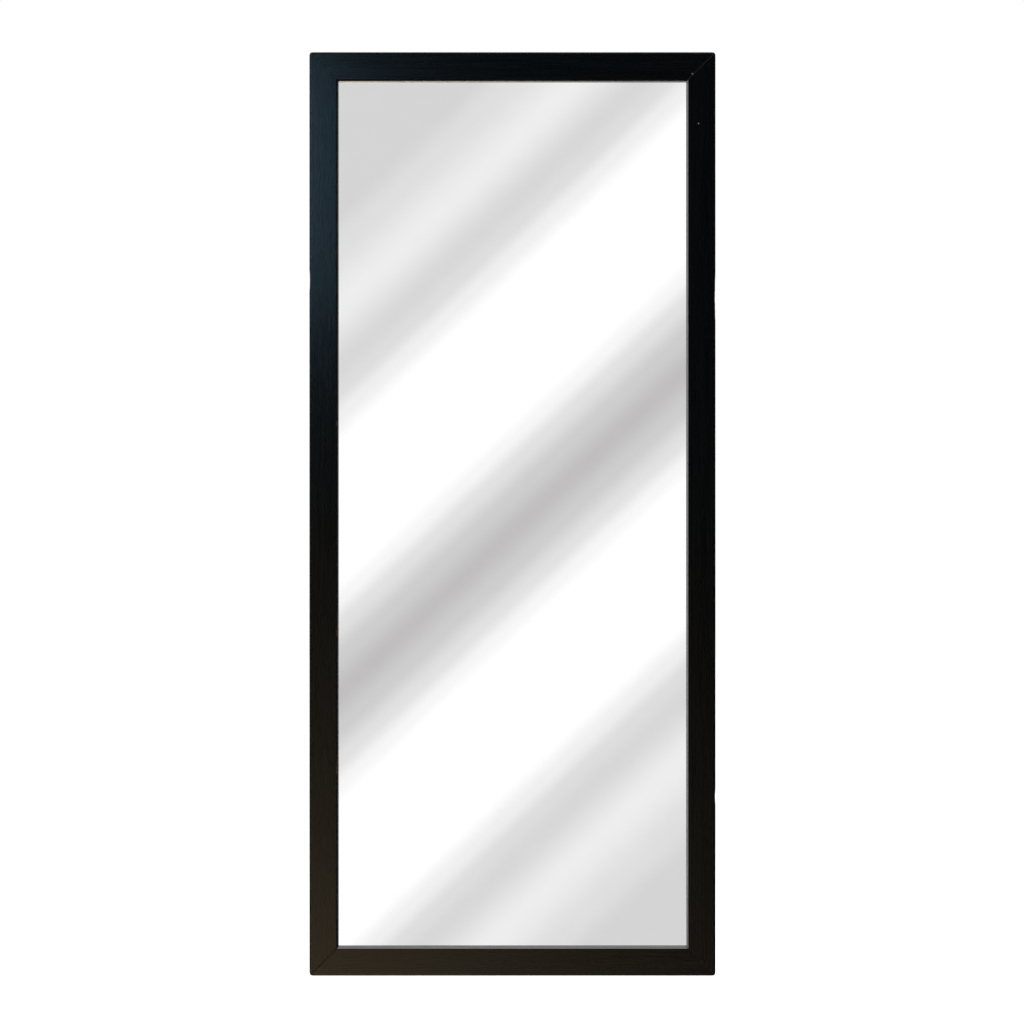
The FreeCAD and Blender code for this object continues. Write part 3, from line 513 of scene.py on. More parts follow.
@dataclass
class Moulding:
    """The four mitred rails as one moulding, with eased edges, hairline mitres and worn places.

    A knock wears and dents by an even share and an uneven one.
    """

    width: float = 38.0
    depth: float = 22.0
    outer_round: float = 2.0
    bevel: float = 2.0
    lip: float = 7.0
    rebate: float = 8.0
    ease: float = 0.45
    rebate_ease: float = 0.3
    outer_back_ease: float = 0.5
    inner_back_ease: float = 0.4
    plan_corner: float = 5.0
    mitre_gap: float = 0.03
    mitre_ease: float = 0.2
    face_layer: float = 1.0
    station: float = 4.0
    end_stations: tuple[float, ...] = (0.5, 1.0, 1.6, 2.3, 3.1, 4.2, 6.0, 9.0)
    arc_steps: int = 4
    support: float = 1.3
    supported_side: float = 5.2
    sharp_degrees: float = 32.0
    even_wear: float = 0.42
    slow_wear: Patches = Patches(0.55, long=55, wide=9, spread=40, layer=3.1)
    fast_wear: Patches = Patches(0.35, long=9, wide=5, spread=70, layer=7.7)
    knock_wear: tuple[float, float] = (0.8, 0.6)
    knock_dent: tuple[float, float] = (0.7, 0.5)
    dent_ripple: float = 4.0
    dent_layer: float = 1.3

    def corners(self) -> list[ProfilePoint]:
        """The section's corners, from the outer back edge round the front to the rebate.

        Returns:
            The corners, each with its wear and its radius.
        """
        width, depth, lip = self.width, self.depth, self.lip
        rebate_wall = width - self.rebate
        return [
            ProfilePoint(0, depth, Zone.SIDE, 0.5, self.outer_back_ease),
            ProfilePoint(0, 0, Zone.FACE, 0.9, self.outer_round),
            ProfilePoint(width - self.bevel, 0, Zone.SIGHT_EDGE, 0.75, self.ease),
            ProfilePoint(width, self.bevel, Zone.SIGHT_EDGE, 0.7, self.ease),
            ProfilePoint(width, lip, Zone.BACK, 0.2, self.rebate_ease),
            ProfilePoint(rebate_wall, lip, Zone.BACK, 0.0, self.rebate_ease),
            ProfilePoint(rebate_wall, depth, Zone.BACK, 0.4, self.inner_back_ease),
        ]

    def section(self) -> list[ProfilePoint]:
        """The section with its corners rounded, and a support point on each long side of a corner.

        Returns:
            The closed outline, one point after another.
        """
        corners = self.corners()
        points = []
        for index, corner in enumerate(corners):
            here = Vector((corner.across, corner.back))
            before, after = corners[index - 1], corners[(index + 1) % len(corners)]
            back = Vector((before.across, before.back)) - here
            ahead = Vector((after.across, after.back)) - here
            cut = corner.radius * math.tan((math.pi - back.angle(ahead)) / 2)
            first = here + back.normalized() * cut
            last = here + ahead.normalized() * cut
            if back.length > self.supported_side:
                place = first + back.normalized() * self.support
                points.append(ProfilePoint(place.x, place.y, before.zone))
            for step in range(self.arc_steps + 1):
                share = step / self.arc_steps
                place = first * (1 - share) ** 2 + here * 2 * share * (1 - share) + last * share**2
                zone = corner.zone if step >= self.arc_steps // 2 else before.zone
                points.append(ProfilePoint(place.x, place.y, zone, corner.worn))
            if ahead.length > self.supported_side:
                place = last + ahead.normalized() * self.support
                points.append(ProfilePoint(place.x, place.y, corner.zone))
        return points

    def stations(self, length: float) -> list[float]:
        """Places along a rail, closer together towards its ends.

        Args:
            length: The rail's outer length in millimetres.

        Returns:
            Places from 0 to the length, in millimetres.
        """
        start = self.end_stations[-1]
        count = round((length - 2 * start) / self.station)
        middle = [start + (length - 2 * start) * index / count for index in range(count + 1)]
        near = [0.0, *self.end_stations[:-1]]
        return near + middle + [length - place for place in reversed(near)]

    def place_on(self, run: Run, along: float, across: float, back: float) -> Vector:
        """A point of a rail in the frame's axes, pulled in where the frame's corner is rounded.

        Args:
            run: The rail.
            along: Millimetres from the outer corner along the rail.
            across: Millimetres inward from the outer edge.
            back: Millimetres back from the face.

        Returns:
            The place, in metres.
        """
        radius = self.plan_corner
        from_end = min(along, run.length - along)
        from_centre = Vector((radius - from_end, radius - across))
        if from_end < radius and across < radius < from_centre.length:
            pulled = from_centre.normalized() * radius
            across = radius - pulled.y
            near = radius - pulled.x
            along = near if along < run.length / 2 else run.length - near
        return run.start + (run.along * along + run.inward * across + Vector((0, 1, 0)) * back) * MM

    def wear_at(self, run: Run, point: ProfilePoint, along: float) -> float:
        """How worn a place of the section is.

        Args:
            run: The rail.
            point: The point of its section.
            along: Millimetres from the rail's start.

        Returns:
            0 where the lacquer is whole, 1 where it is gone.
        """
        if point.worn == 0.0:
            return 0.0
        slow = self.slow_wear.at(run, along, point.across)
        fast = self.fast_wear.at(run, along, point.across)
        worn = point.worn * (self.even_wear + self.slow_wear.share * slow + self.fast_wear.share * fast)
        even, uneven = self.knock_wear
        for knock in run.knocks:
            share = abs(along - knock.along) / knock.half_length
            near = (point.across > self.width / 2) == knock.sight_edge
            if share < 1 and near and point.back < self.lip:
                worn = max(worn, knock.wear * (1 - share**3) * (even + uneven * fast))
        return max(0.0, min(1.0, worn))

    def dent_at(self, run: Run, point: ProfilePoint, along: float) -> float:
        """How far an outer edge is knocked in.

        Args:
            run: The rail.
            point: The point of its section.
            along: Millimetres from the rail's start.

        Returns:
            The depth in millimetres.
        """
        if point.across > self.outer_round or point.back > self.depth / 2:
            return 0.0
        deepest = 0.0
        even, uneven = self.knock_dent
        for knock in run.knocks:
            share = abs(along - knock.along) / knock.half_length
            if share < 1 and not knock.sight_edge:
                place = Vector((along / self.dent_ripple, self.dent_layer, knock.along))
                ragged = even + uneven * noise.noise(place)
                deepest = max(deepest, knock.depth * (1 - share**2) * ragged)
        return deepest

    def rail(self, run: Run) -> bpy.types.Object:
        """Builds one rail from its section at each station, with both ends cut to their mitres.

        Args:
            run: Where it lies.

        Returns:
            The rail's object.
        """
        drawn = bmesh.new()
        uv = drawn.loops.layers.uv.new(MOULDING_UV)
        wear = drawn.verts.layers.float.new(EDGE_WEAR)
        section = self.section()
        rings = []
        for station in self.stations(run.length):
            at_mitre = station in (0.0, run.length)
            ring = []
            for point in section:
                lowered = self.mitre_ease if at_mitre and point.back < self.face_layer else 0.0
                cut_length = run.length - 2 * point.across - self.mitre_gap
                along = point.across + self.mitre_gap / 2 + station / run.length * cut_length
                across = point.across + self.dent_at(run, point, along)
                vertex = drawn.verts.new(self.place_on(run, along, across, point.back + lowered))
                vertex[wear] = self.wear_at(run, point, along)
                ring.append((vertex, along))
            rings.append(ring)
        travelled = [0.0]
        for point, following in zip(section, section[1:] + section[:1]):
            step = math.hypot(following.across - point.across, following.back - point.back)
            travelled.append(travelled[-1] + step)
        for ring, following in zip(rings, rings[1:]):
            for index, point in enumerate(section):
                after = (index + 1) % len(section)
                corners = (ring[index], ring[after], following[after], following[index])
                spans = (travelled[index], travelled[index + 1], travelled[index + 1], travelled[index])
                face = drawn.faces.new([vertex for vertex, _ in corners])
                face.smooth = True
                face.material_index = point.zone.value
                for loop, (_, along), span in zip(face.loops, corners, spans):
                    loop[uv].uv = ((along + run.uv_start) * MM, span * MM)
        for ring in (rings[0], rings[-1]):
            drawn.faces.new([vertex for vertex, _ in ring]).material_index = Zone.BACK.value
        name = f"moulded_{run.node}"
        data = finish_mesh(name, drawn, self.sharp_degrees)
        for zone in Zone:
            data.materials.append(ZONE_FINISHES[zone].material())
        return add_object(name, data)

    def runs(self) -> list[Run]:
        """Where the four rails lie, with the knocks that each has taken.

        Returns:
            One run for each rail.
        """
        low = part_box("left_stile")[0]
        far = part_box("right_stile")[1]
        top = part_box("top_rail")[1].z
        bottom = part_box("bottom_rail")[0].z
        right, up = Vector((1, 0, 0)), Vector((0, 0, 1))
        height, width = (top - bottom) / MM, (far.x - low.x) / MM
        lower_left, lower_right = Vector((low.x, low.y, bottom)), Vector((far.x, low.y, bottom))
        upper_left = Vector((low.x, low.y, top))
        left_knocks = (
            Knock(917, 14, depth=0.7, wear=0.7),
            Knock(729, 11, sight_edge=True),
            Knock(460, 34, wear=0.95, sight_edge=True),
            Knock(276, 21, sight_edge=True),
        )
        right_knocks = (Knock(896, 32, depth=0.9, wear=0.6), Knock(236, 10, depth=0.8, wear=0.8))
        return [
            Run("left_stile", lower_left, up, right, height, 0.0, left_knocks),
            Run("right_stile", lower_right, up, -right, height, 2000.0, right_knocks),
            Run("top_rail", upper_left, right, -up, width, 4000.0, (Knock(505, 5, wear=0.9),)),
            Run("bottom_rail", lower_left, right, up, width, 6000.0),
        ]

    def build(self) -> None:
        """Builds the rails and lets them stand for their CAD nodes."""
        for run in self.runs():
            piece = self.rail(run)
            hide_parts(run.node)
            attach(piece, "mirror")
            LOG.info("%s: %d faces", piece.name, len(piece.data.polygons))


# ---------------------------------------------------------------- turned and repeated pieces
def turned_mesh(name: str, outline: Outline, axis: Vector, sides: int) -> bpy.types.Mesh:
    """A closed solid of revolution about the origin.

    Args:
        name: The mesh's name.
        outline: Radius and height pairs in millimetres, from one pole to the other.
        axis: The direction of height.
        sides: How many sides the circle has.

    Returns:
        The mesh, with its normals outwards.
    """
    drawn = bmesh.new()
    side = axis.orthogonal().normalized()
    other = axis.cross(side)
    turns = [2 * math.pi * index / sides for index in range(sides)]
    spokes = [side * math.cos(turn) + other * math.sin(turn) for turn in turns]
    rings = []
    for radius, height in outline:
        if radius == 0:
            rings.append([drawn.verts.new(axis * height * MM)] * sides)
        else:
            rings.append([drawn.verts.new((spoke * radius + axis * height) * MM) for spoke in spokes])
    for below, above in zip(rings, rings[1:]):
        for index in range(sides):
            after = (index + 1) % sides
            corners = dict.fromkeys((below[index], below[after], above[after], above[index]))
            drawn.faces.new(list(corners)).smooth = True
    return finish_mesh(name, drawn, TURNED_SHARP_DEGREES)


class RepeatTree:
    """Geometry Nodes that put a piece at each place of one or more straight rows."""

    ball_segments: int = 20
    ball_rings: int = 10

    def __init__(self, name: str, ball: bool) -> None:
        """Builds the tree.

        Args:
            name: The tree's name.
            ball: Whether the tree makes its own ball, or repeats a piece that is handed in.
        """
        tree = bpy.data.node_groups.new(name, "GeometryNodeTree")
        self.tree = tree
        self.sockets = {
            title: tree.interface.new_socket(title, in_out="INPUT", socket_type=kind).identifier
            for title, kind in (
                ("Row starts", "NodeSocketGeometry"),
                ("Count", "NodeSocketInt"),
                ("Pitch", "NodeSocketVector"),
                ("Finish", "NodeSocketMaterial"),
                ("Ball radius", "NodeSocketFloat") if ball else ("Piece", "NodeSocketObject"),
            )
        }
        tree.interface.new_socket("Pieces", in_out="OUTPUT", socket_type="NodeSocketGeometry")
        given = add_node(tree, "NodeGroupInput").outputs
        line = {"Count": given["Count"], "Offset": given["Pitch"]}
        row = add_node(tree, "GeometryNodeMeshLine", line, mode="OFFSET")
        starts = {"Points": given["Row starts"], "Instance": row}
        rows = add_node(tree, "GeometryNodeInstanceOnPoints", starts)
        places = add_node(tree, "GeometryNodeRealizeInstances", {"Geometry": rows})
        if ball:
            size = {"Segments": self.ball_segments, "Rings": self.ball_rings, "Radius": given["Ball radius"]}
            sphere = add_node(tree, "GeometryNodeMeshUVSphere", size)
            one: object = add_node(tree, "GeometryNodeSetShadeSmooth", {"Geometry": sphere})
        else:
            one = add_node(tree, "GeometryNodeObjectInfo", {"Object": given["Piece"]}).outputs["Geometry"]
        copies = add_node(tree, "GeometryNodeInstanceOnPoints", {"Points": places, "Instance": one})
        solid = add_node(tree, "GeometryNodeRealizeInstances", {"Geometry": copies})
        dress = {"Geometry": solid, "Material": given["Finish"]}
        dressed = add_node(tree, "GeometryNodeSetMaterial", dress)
        add_node(tree, "NodeGroupOutput", {"Pieces": dressed})

    def make(self, name: str, starts: Sequence[Vector], values: dict[str, object]) -> bpy.types.Object:
        """Runs the tree and keeps its result as a plain mesh.

        Args:
            name: The new object's name.
            starts: Where each row starts.
            values: The tree's inputs by name.

        Returns:
            The object, without its modifier.
        """
        points = bpy.data.meshes.new(f"{name}_starts")
        points.from_pydata(list(starts), [], [])
        piece = add_object(name, points)
        modifier = piece.modifiers.new("rows", "NODES")
        modifier.node_group = self.tree
        for key, value in values.items():
            modifier[self.sockets[key]] = value
        apply_modifiers(piece)
        piece.data.name = name
        return piece


@dataclass(frozen=True)
class FastenerRow:
    """Equal fasteners in pairs: one at each start, and one a pitch further. Their heads face the axis."""

    name: str
    body: str
    starts: list[Vector]
    pitch: Vector
    outline: Outline
    axis: Vector
    cross_recess: bool = False


@dataclass
class Fasteners:
    """Rivets of the carriage and wood screws of the frame brackets. Heads are a radius and a height."""

    rivet_radius: float = 2.0
    rivet_head: tuple[float, float] = (3.6, 1.5)
    rivet_tail: tuple[float, float] = (3.1, 0.9)
    tail_chamfer: float = 0.3
    rivet_spacing: float = 16.0
    rest_rivet_inset: float = 16.0
    screw_radius: float = 1.75
    screw_head: tuple[float, float] = (3.4, 2.1)
    screw_length: float = 15.0
    screw_point: float = 3.0
    screw_spacing: float = 12.0
    low_screw_edge: float = 13.0
    high_screw_edge: float = 8.0
    member_gauge: float = 1.2
    post_gauge: float = 1.5
    rest_gauge: float = 2.0
    bracket_gauge: float = 3.0
    recess_arm: tuple[float, float] = (2.1, 0.55)
    recess_depth: float = 1.1
    recess_overrun: float = 1.0
    recess_taper: float = 0.45
    rim_share: float = 0.3
    dome_steps: int = 5
    sides: int = 24

    def dome(self, head: tuple[float, float]) -> Outline:
        """A low domed head.

        Args:
            head: Its radius and height.

        Returns:
            Radius and height pairs from its rim to its top.
        """
        radius, height = head
        rim = height * self.rim_share
        angles = [math.pi / 2 * step / self.dome_steps for step in range(self.dome_steps)]
        arc = [(radius * math.cos(angle), rim + (height - rim) * math.sin(angle)) for angle in angles]
        return (*arc, (0, height))

    def rivet(self, grip: float) -> Outline:
        """A rivet's outline from its flat tail to the top of its head.

        Args:
            grip: How thick the sheets are that it holds together, in millimetres.

        Returns:
            Radius and height pairs.
        """
        tail_radius, tail_height = self.rivet_tail
        end = -grip - tail_height
        return (
            (0, end),
            (tail_radius - self.tail_chamfer, end),
            (tail_radius, end + self.tail_chamfer),
            (tail_radius, -grip),
            (self.rivet_radius, -grip),
            (self.rivet_radius, 0),
            (self.rivet_head[0], 0),
            *self.dome(self.rivet_head),
        )

    def screw(self) -> Outline:
        """A pan-head wood screw's outline from its point to the top of its head.

        Returns:
            Radius and height pairs.
        """
        return (
            (0, -self.screw_length),
            (self.screw_radius, self.screw_point - self.screw_length),
            (self.screw_radius, 0),
            (self.screw_head[0], 0),
            *self.dome(self.screw_head),
        )

    def rows(self) -> list[FastenerRow]:
        """Where each kind of fastener sits, from the boxes of what it holds.

        Returns:
            One row for each piece to be made.
        """
        towards_glass, to_panel = Vector((0, -1, 0)), Vector((0, 1, 0))
        half = self.rivet_spacing / 2 * MM
        levels = [sum(corner.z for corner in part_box(f"{side}_inner_member")) / 2 for side in SIDES]
        post_low, post_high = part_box("carriage_post")
        post_sheets = self.post_gauge + self.bracket_gauge
        post_x, post_y = (post_low.x + post_high.x) / 2, post_high.y - post_sheets * MM
        post_starts = [Vector((post_x, post_y, level - half)) for level in levels]
        rest_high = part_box("upper_rest_bracket")[1]
        rest_x, rest_y = rest_high.x - self.rest_rivet_inset * MM, rest_high.y - self.rest_gauge * MM
        rest_starts = [Vector((rest_x - half, rest_y, level)) for level in levels]
        pivot_x = sum(corner.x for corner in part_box("pivot_bolts")) / 2
        beside = self.screw_spacing / 2 * MM
        brackets = [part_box(f"{side}_frame_bracket") for side in SIDES]
        screw_starts = [
            Vector((pivot_x + across, low.y + self.bracket_gauge * MM, low.z + self.low_screw_edge * MM))
            for low, _ in brackets
            for across in (-beside, beside)
        ]
        low, high = brackets[0]
        upright = high.z - low.z - (self.low_screw_edge + self.high_screw_edge) * MM
        post_rivet = self.rivet(self.member_gauge + post_sheets)
        rest_rivet = self.rivet(self.member_gauge + self.rest_gauge)
        upwards, along, between = Vector((0, 0, 2 * half)), Vector((2 * half, 0, 0)), Vector((0, 0, upright))
        return [
            FastenerRow("post_rivets", "carriage", post_starts, upwards, post_rivet, towards_glass),
            FastenerRow("rest_bracket_rivets", "carriage", rest_starts, along, rest_rivet, towards_glass),
            FastenerRow(
                "frame_bracket_screws", "mirror", screw_starts, between, self.screw(), to_panel, True
            ),
        ]

    def cut_recess(self, screw: bpy.types.Object) -> None:
        """Cuts a cross recess, narrower at its bottom, into the top of a screw's head.

        Args:
            screw: The screw, with its head towards +Y. It is changed.
        """
        drawn = bmesh.new()
        top = self.screw_head[1]
        for wide, deep in (self.recess_arm[::-1], self.recess_arm):
            lower, upper = (
                [
                    drawn.verts.new(Vector((x * wide * scale, height, z * deep * scale)) * MM)
                    for x, z in SQUARE
                ]
                for scale, height in (
                    (self.recess_taper, top - self.recess_depth),
                    (1.0, top + self.recess_overrun),
                )
            )
            drawn.faces.new(lower)
            drawn.faces.new(upper)
            for index in range(4):
                after = (index + 1) % 4
                drawn.faces.new((lower[index], lower[after], upper[after], upper[index]))
        cutter = add_object("recess_cutter", finish_mesh("recess_cutter", drawn))
        cut = screw.modifiers.new("recess", "BOOLEAN")
        cut.operation = "DIFFERENCE"
        cut.solver = "EXACT"
        cut.use_self = True
        cut.object = cutter
        apply_modifiers(screw)
        bpy.data.objects.remove(cutter)

    def build(self) -> None:
        """Makes each row of fasteners with Geometry Nodes."""
        tree = RepeatTree("rows_of_fasteners", ball=False)
        for row in self.rows():
            one_name = f"{row.name}_one"
            one = add_object(one_name, turned_mesh(one_name, row.outline, row.axis, self.sides))
            if row.cross_recess:
                self.cut_recess(one)
            values = {"Count": 2, "Pitch": row.pitch, "Piece": one, "Finish": BARREL_ZINC.material()}
            piece = tree.make(row.name, row.starts, values)
            bpy.data.objects.remove(one)
            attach(piece, row.body)
            LOG.info("%s: %d faces", piece.name, len(piece.data.polygons))


@dataclass
class BallRows:
    """The rows of balls between the slide members, round where the CAD's are faceted."""

    radius: float = 1.75
    per_row: int = 4
    cad_sides: int = 8
    bodies: tuple[tuple[str, str], ...] = (
        ("outer_cage_balls", "outer_cages"),
        ("inner_cage_balls", "inner_cages"),
    )

    def build(self) -> None:
        """Makes both sets of balls at their nodes' places."""
        tree = RepeatTree("rows_of_balls", ball=True)
        for node, body in self.bodies:
            low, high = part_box(node)
            reach = self.radius * math.cos(math.pi / self.cad_sides) * MM
            y = (low.y + high.y) / 2
            values = {
                "Count": self.per_row,
                "Pitch": Vector(((high.x - low.x - 2 * reach) / (self.per_row - 1), 0, 0)),
                "Ball radius": self.radius * MM,
                "Finish": BEARING_STEEL.material(),
            }
            starts = [Vector((low.x + reach, y, z)) for z in self.row_heights(node)]
            piece = tree.make(f"round_{node}", starts, values)
            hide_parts(node)
            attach(piece, body)
            LOG.info("%s: %d faces", piece.name, len(piece.data.polygons))

    def row_heights(self, node: str) -> list[float]:
        """The heights of a node's rows of balls, read from its own mesh.

        Args:
            node: The node's name.

        Returns:
            The middle of each row, from the lowest up.
        """
        heights = sorted(vertex.co.z for vertex in bpy.data.objects[node].data.vertices)
        rows: list[list[float]] = [[heights[0]]]
        for height in heights[1:]:
            if height - rows[-1][-1] > self.radius * MM:
                rows.append([])
            rows[-1].append(height)
        return [(row[0] + row[-1]) / 2 for row in rows]


# ---------------------------------------------------------------- CAD nodes that stay
@dataclass
class DressedNodes:
    """The CAD nodes whose shape stays, and the finish that each one takes by how its name ends."""

    finishes: dict[str, Finish] = field(
        default_factory=lambda: {
            "mirror_glass": SILVERED_GLASS,
            "backing_board": HARDBOARD,
            "rear_buffers": MOULDED_PLASTIC,
            "rest_bumpers": BLACK_RUBBER,
            "pivot_bushes": NATURAL_NYLON,
            "thrust_washers": NATURAL_NYLON,
            "carriage_post": POWDER_COAT,
            "_bracket": POWDER_COAT,
            "_member": ROLLED_ZINC,
            "_cage": ROLLED_ZINC,
        }
    )

    def finish_of(self, name: str) -> Finish:
        """The finish of a node. Small hardware is zinc plated."""
        fitting = (finish for ending, finish in self.finishes.items() if name.endswith(ending))
        return next(fitting, BARREL_ZINC)

    def build(self, nodes: dict[str, bpy.types.Object]) -> None:
        """Dresses each node that is still shown.

        Args:
            nodes: The frame's nodes by name.
        """
        for name, node in nodes.items():
            if node.hide_render:
                continue
            material = self.finish_of(name).material()
            for slot in node.material_slots:
                slot.material = material
            LOG.info("%s: %s", name, material.name)


# ---------------------------------------------------------------- stage
@dataclass(frozen=True)
class Lamp:
    """A soft area lamp."""

    name: str
    place: Point
    aim: Point
    size: tuple[float, float]
    colour: str
    watts: float

    def build(self) -> None:
        """Adds the lamp."""
        data = bpy.data.lights.new(self.name, "AREA")
        data.shape = "RECTANGLE"
        data.size, data.size_y = self.size
        data.color = linear(self.colour)[:3]
        data.energy = self.watts
        lamp = add_object(self.name, data)
        lamp.location = self.place
        lamp.rotation_euler = (Vector(self.aim) - Vector(self.place)).to_track_quat("-Z", "Y").to_euler()


@dataclass(frozen=True)
class GlowStrip:
    """A small glowing strip close to the frame. The camera and the mirror look straight through it."""

    name: str = "cool_strip"
    place: Point = (-0.487, -1.2, 0.62)
    aim: Point = (-0.25, 0.0, 0.45)
    size: tuple[float, float] = (0.12, 0.5)
    colour: str = "a8deff"
    radiance: float = 12.5

    def material(self) -> bpy.types.Material:
        """A glow that adds to what is behind it and casts no shadow.

        Returns:
            The strip's material.
        """
        material = empty_material(self.name)
        tree = material.node_tree
        seen = add_node(tree, "ShaderNodeLightPath").outputs
        straight = {0: seen["Is Camera Ray"], 1: seen["Is Singular Ray"]}
        through = add_node(tree, "ShaderNodeMath", straight, operation="MAXIMUM")
        fade = {0: through, 1: -self.radiance, 2: self.radiance}
        strength = add_node(tree, "ShaderNodeMath", fade, operation="MULTIPLY_ADD")
        light = {"Color": linear(self.colour), "Strength": strength}
        glow = add_node(tree, "ShaderNodeEmission", light)
        clear = add_node(tree, "ShaderNodeBsdfTransparent")
        both = add_node(tree, "ShaderNodeAddShader", {0: glow, 1: clear})
        add_node(tree, "ShaderNodeOutputMaterial", {"Surface": both})
        return material

    def build(self) -> None:
        """Adds the strip, turned towards what it lights."""
        place = Vector(self.place)
        turn = (Vector(self.aim) - place).to_track_quat("-Z", "Y")
        half_width, half_height = self.size[0] / 2, self.size[1] / 2
        corners = [place + turn @ Vector((x * half_width, y * half_height, 0.0)) for x, y in SQUARE]
        data = bpy.data.meshes.new(self.name)
        data.from_pydata(corners, [], [(3, 2, 1, 0)])
        data.materials.append(self.material())
        add_object(self.name, data)


@dataclass(frozen=True)
class StudioBands:
    """Soft diagonal flags round the studio, which the mirror reflects.

    The stops give the grey of the studio by the distance from the middle of the darkest band, as a
    share of half the pattern's repeat.
    """

    slope: float = math.radians(43)
    half_repeat: float = 0.196
    centre: float = 0.0058
    strength: float = 1.06
    stops: tuple[tuple[float, str], ...] = (
        (0.0, "bfbdbe"),
        (0.06, "cccccc"),
        (0.113, "e0e0e0"),
        (0.155, "f5f5f5"),
        (0.19, "ffffff"),
        (0.41, "ffffff"),
        (0.46, "eeeeee"),
        (0.50, "dcdcdc"),
        (0.54, "d6d6d6"),
        (0.64, "ececec"),
        (0.74, "dddddd"),
        (0.80, "d3d3d3"),
        (1.0, "d3d3d3"),
    )

    def seen(self, tree: Tree, direction: Socket, shift: float) -> Node:
        """The flags' grey in a direction.

        Args:
            tree: The world's tree.
            direction: The direction that is looked in.
            shift: How far the pattern is moved, on the scale of its repeat.

        Returns:
            The colour that is seen there.
        """
        slope = Vector((math.sin(self.slope), 0, -math.cos(self.slope)))
        value = add_node(tree, "ShaderNodeVectorMath", {0: direction, 1: slope}, operation="DOT_PRODUCT")
        for operation, amount in (
            ("SUBTRACT", shift + self.centre),
            ("PINGPONG", self.half_repeat),
            ("DIVIDE", self.half_repeat),
        ):
            value = add_node(tree, "ShaderNodeMath", {0: value, 1: amount}, operation=operation)
        flags = add_node(tree, "ShaderNodeValToRGB", {"Fac": value})
        set_ramp(flags, [(place, linear(colour)) for place, colour in self.stops], "EASE")
        return add_node(tree, "ShaderNodeVectorMath", {0: flags, "Scale": self.strength}, operation="SCALE")


@dataclass(frozen=True)
class SoftCard:
    """A soft card in the studio, seen only in satin and rough gloss.

    The stops give its brightness by how far a direction points towards it, from -1 to 1.
    """

    towards: Point
    colour: str
    stops: tuple[tuple[float, float], ...]

    def seen(self, tree: Tree, direction: Socket) -> Node:
        """The card's light in a direction.

        Args:
            tree: The world's tree.
            direction: The direction that is looked in.

        Returns:
            The colour that is seen there.
        """
        aim = {0: direction, 1: Vector(self.towards).normalized()}
        facing = add_node(tree, "ShaderNodeVectorMath", aim, operation="DOT_PRODUCT")
        share = add_node(tree, "ShaderNodeMath", {0: facing, 1: 0.5, 2: 0.5}, operation="MULTIPLY_ADD")
        level = add_node(tree, "ShaderNodeValToRGB", {"Fac": share})
        brightest = max(value for _, value in self.stops)
        set_ramp(level, [(place * 0.5 + 0.5, grey(value / brightest)) for place, value in self.stops])
        tint = Vector(linear(self.colour)[:3]) * brightest
        return add_node(tree, "ShaderNodeVectorMath", {0: level, 1: tint}, operation="MULTIPLY")


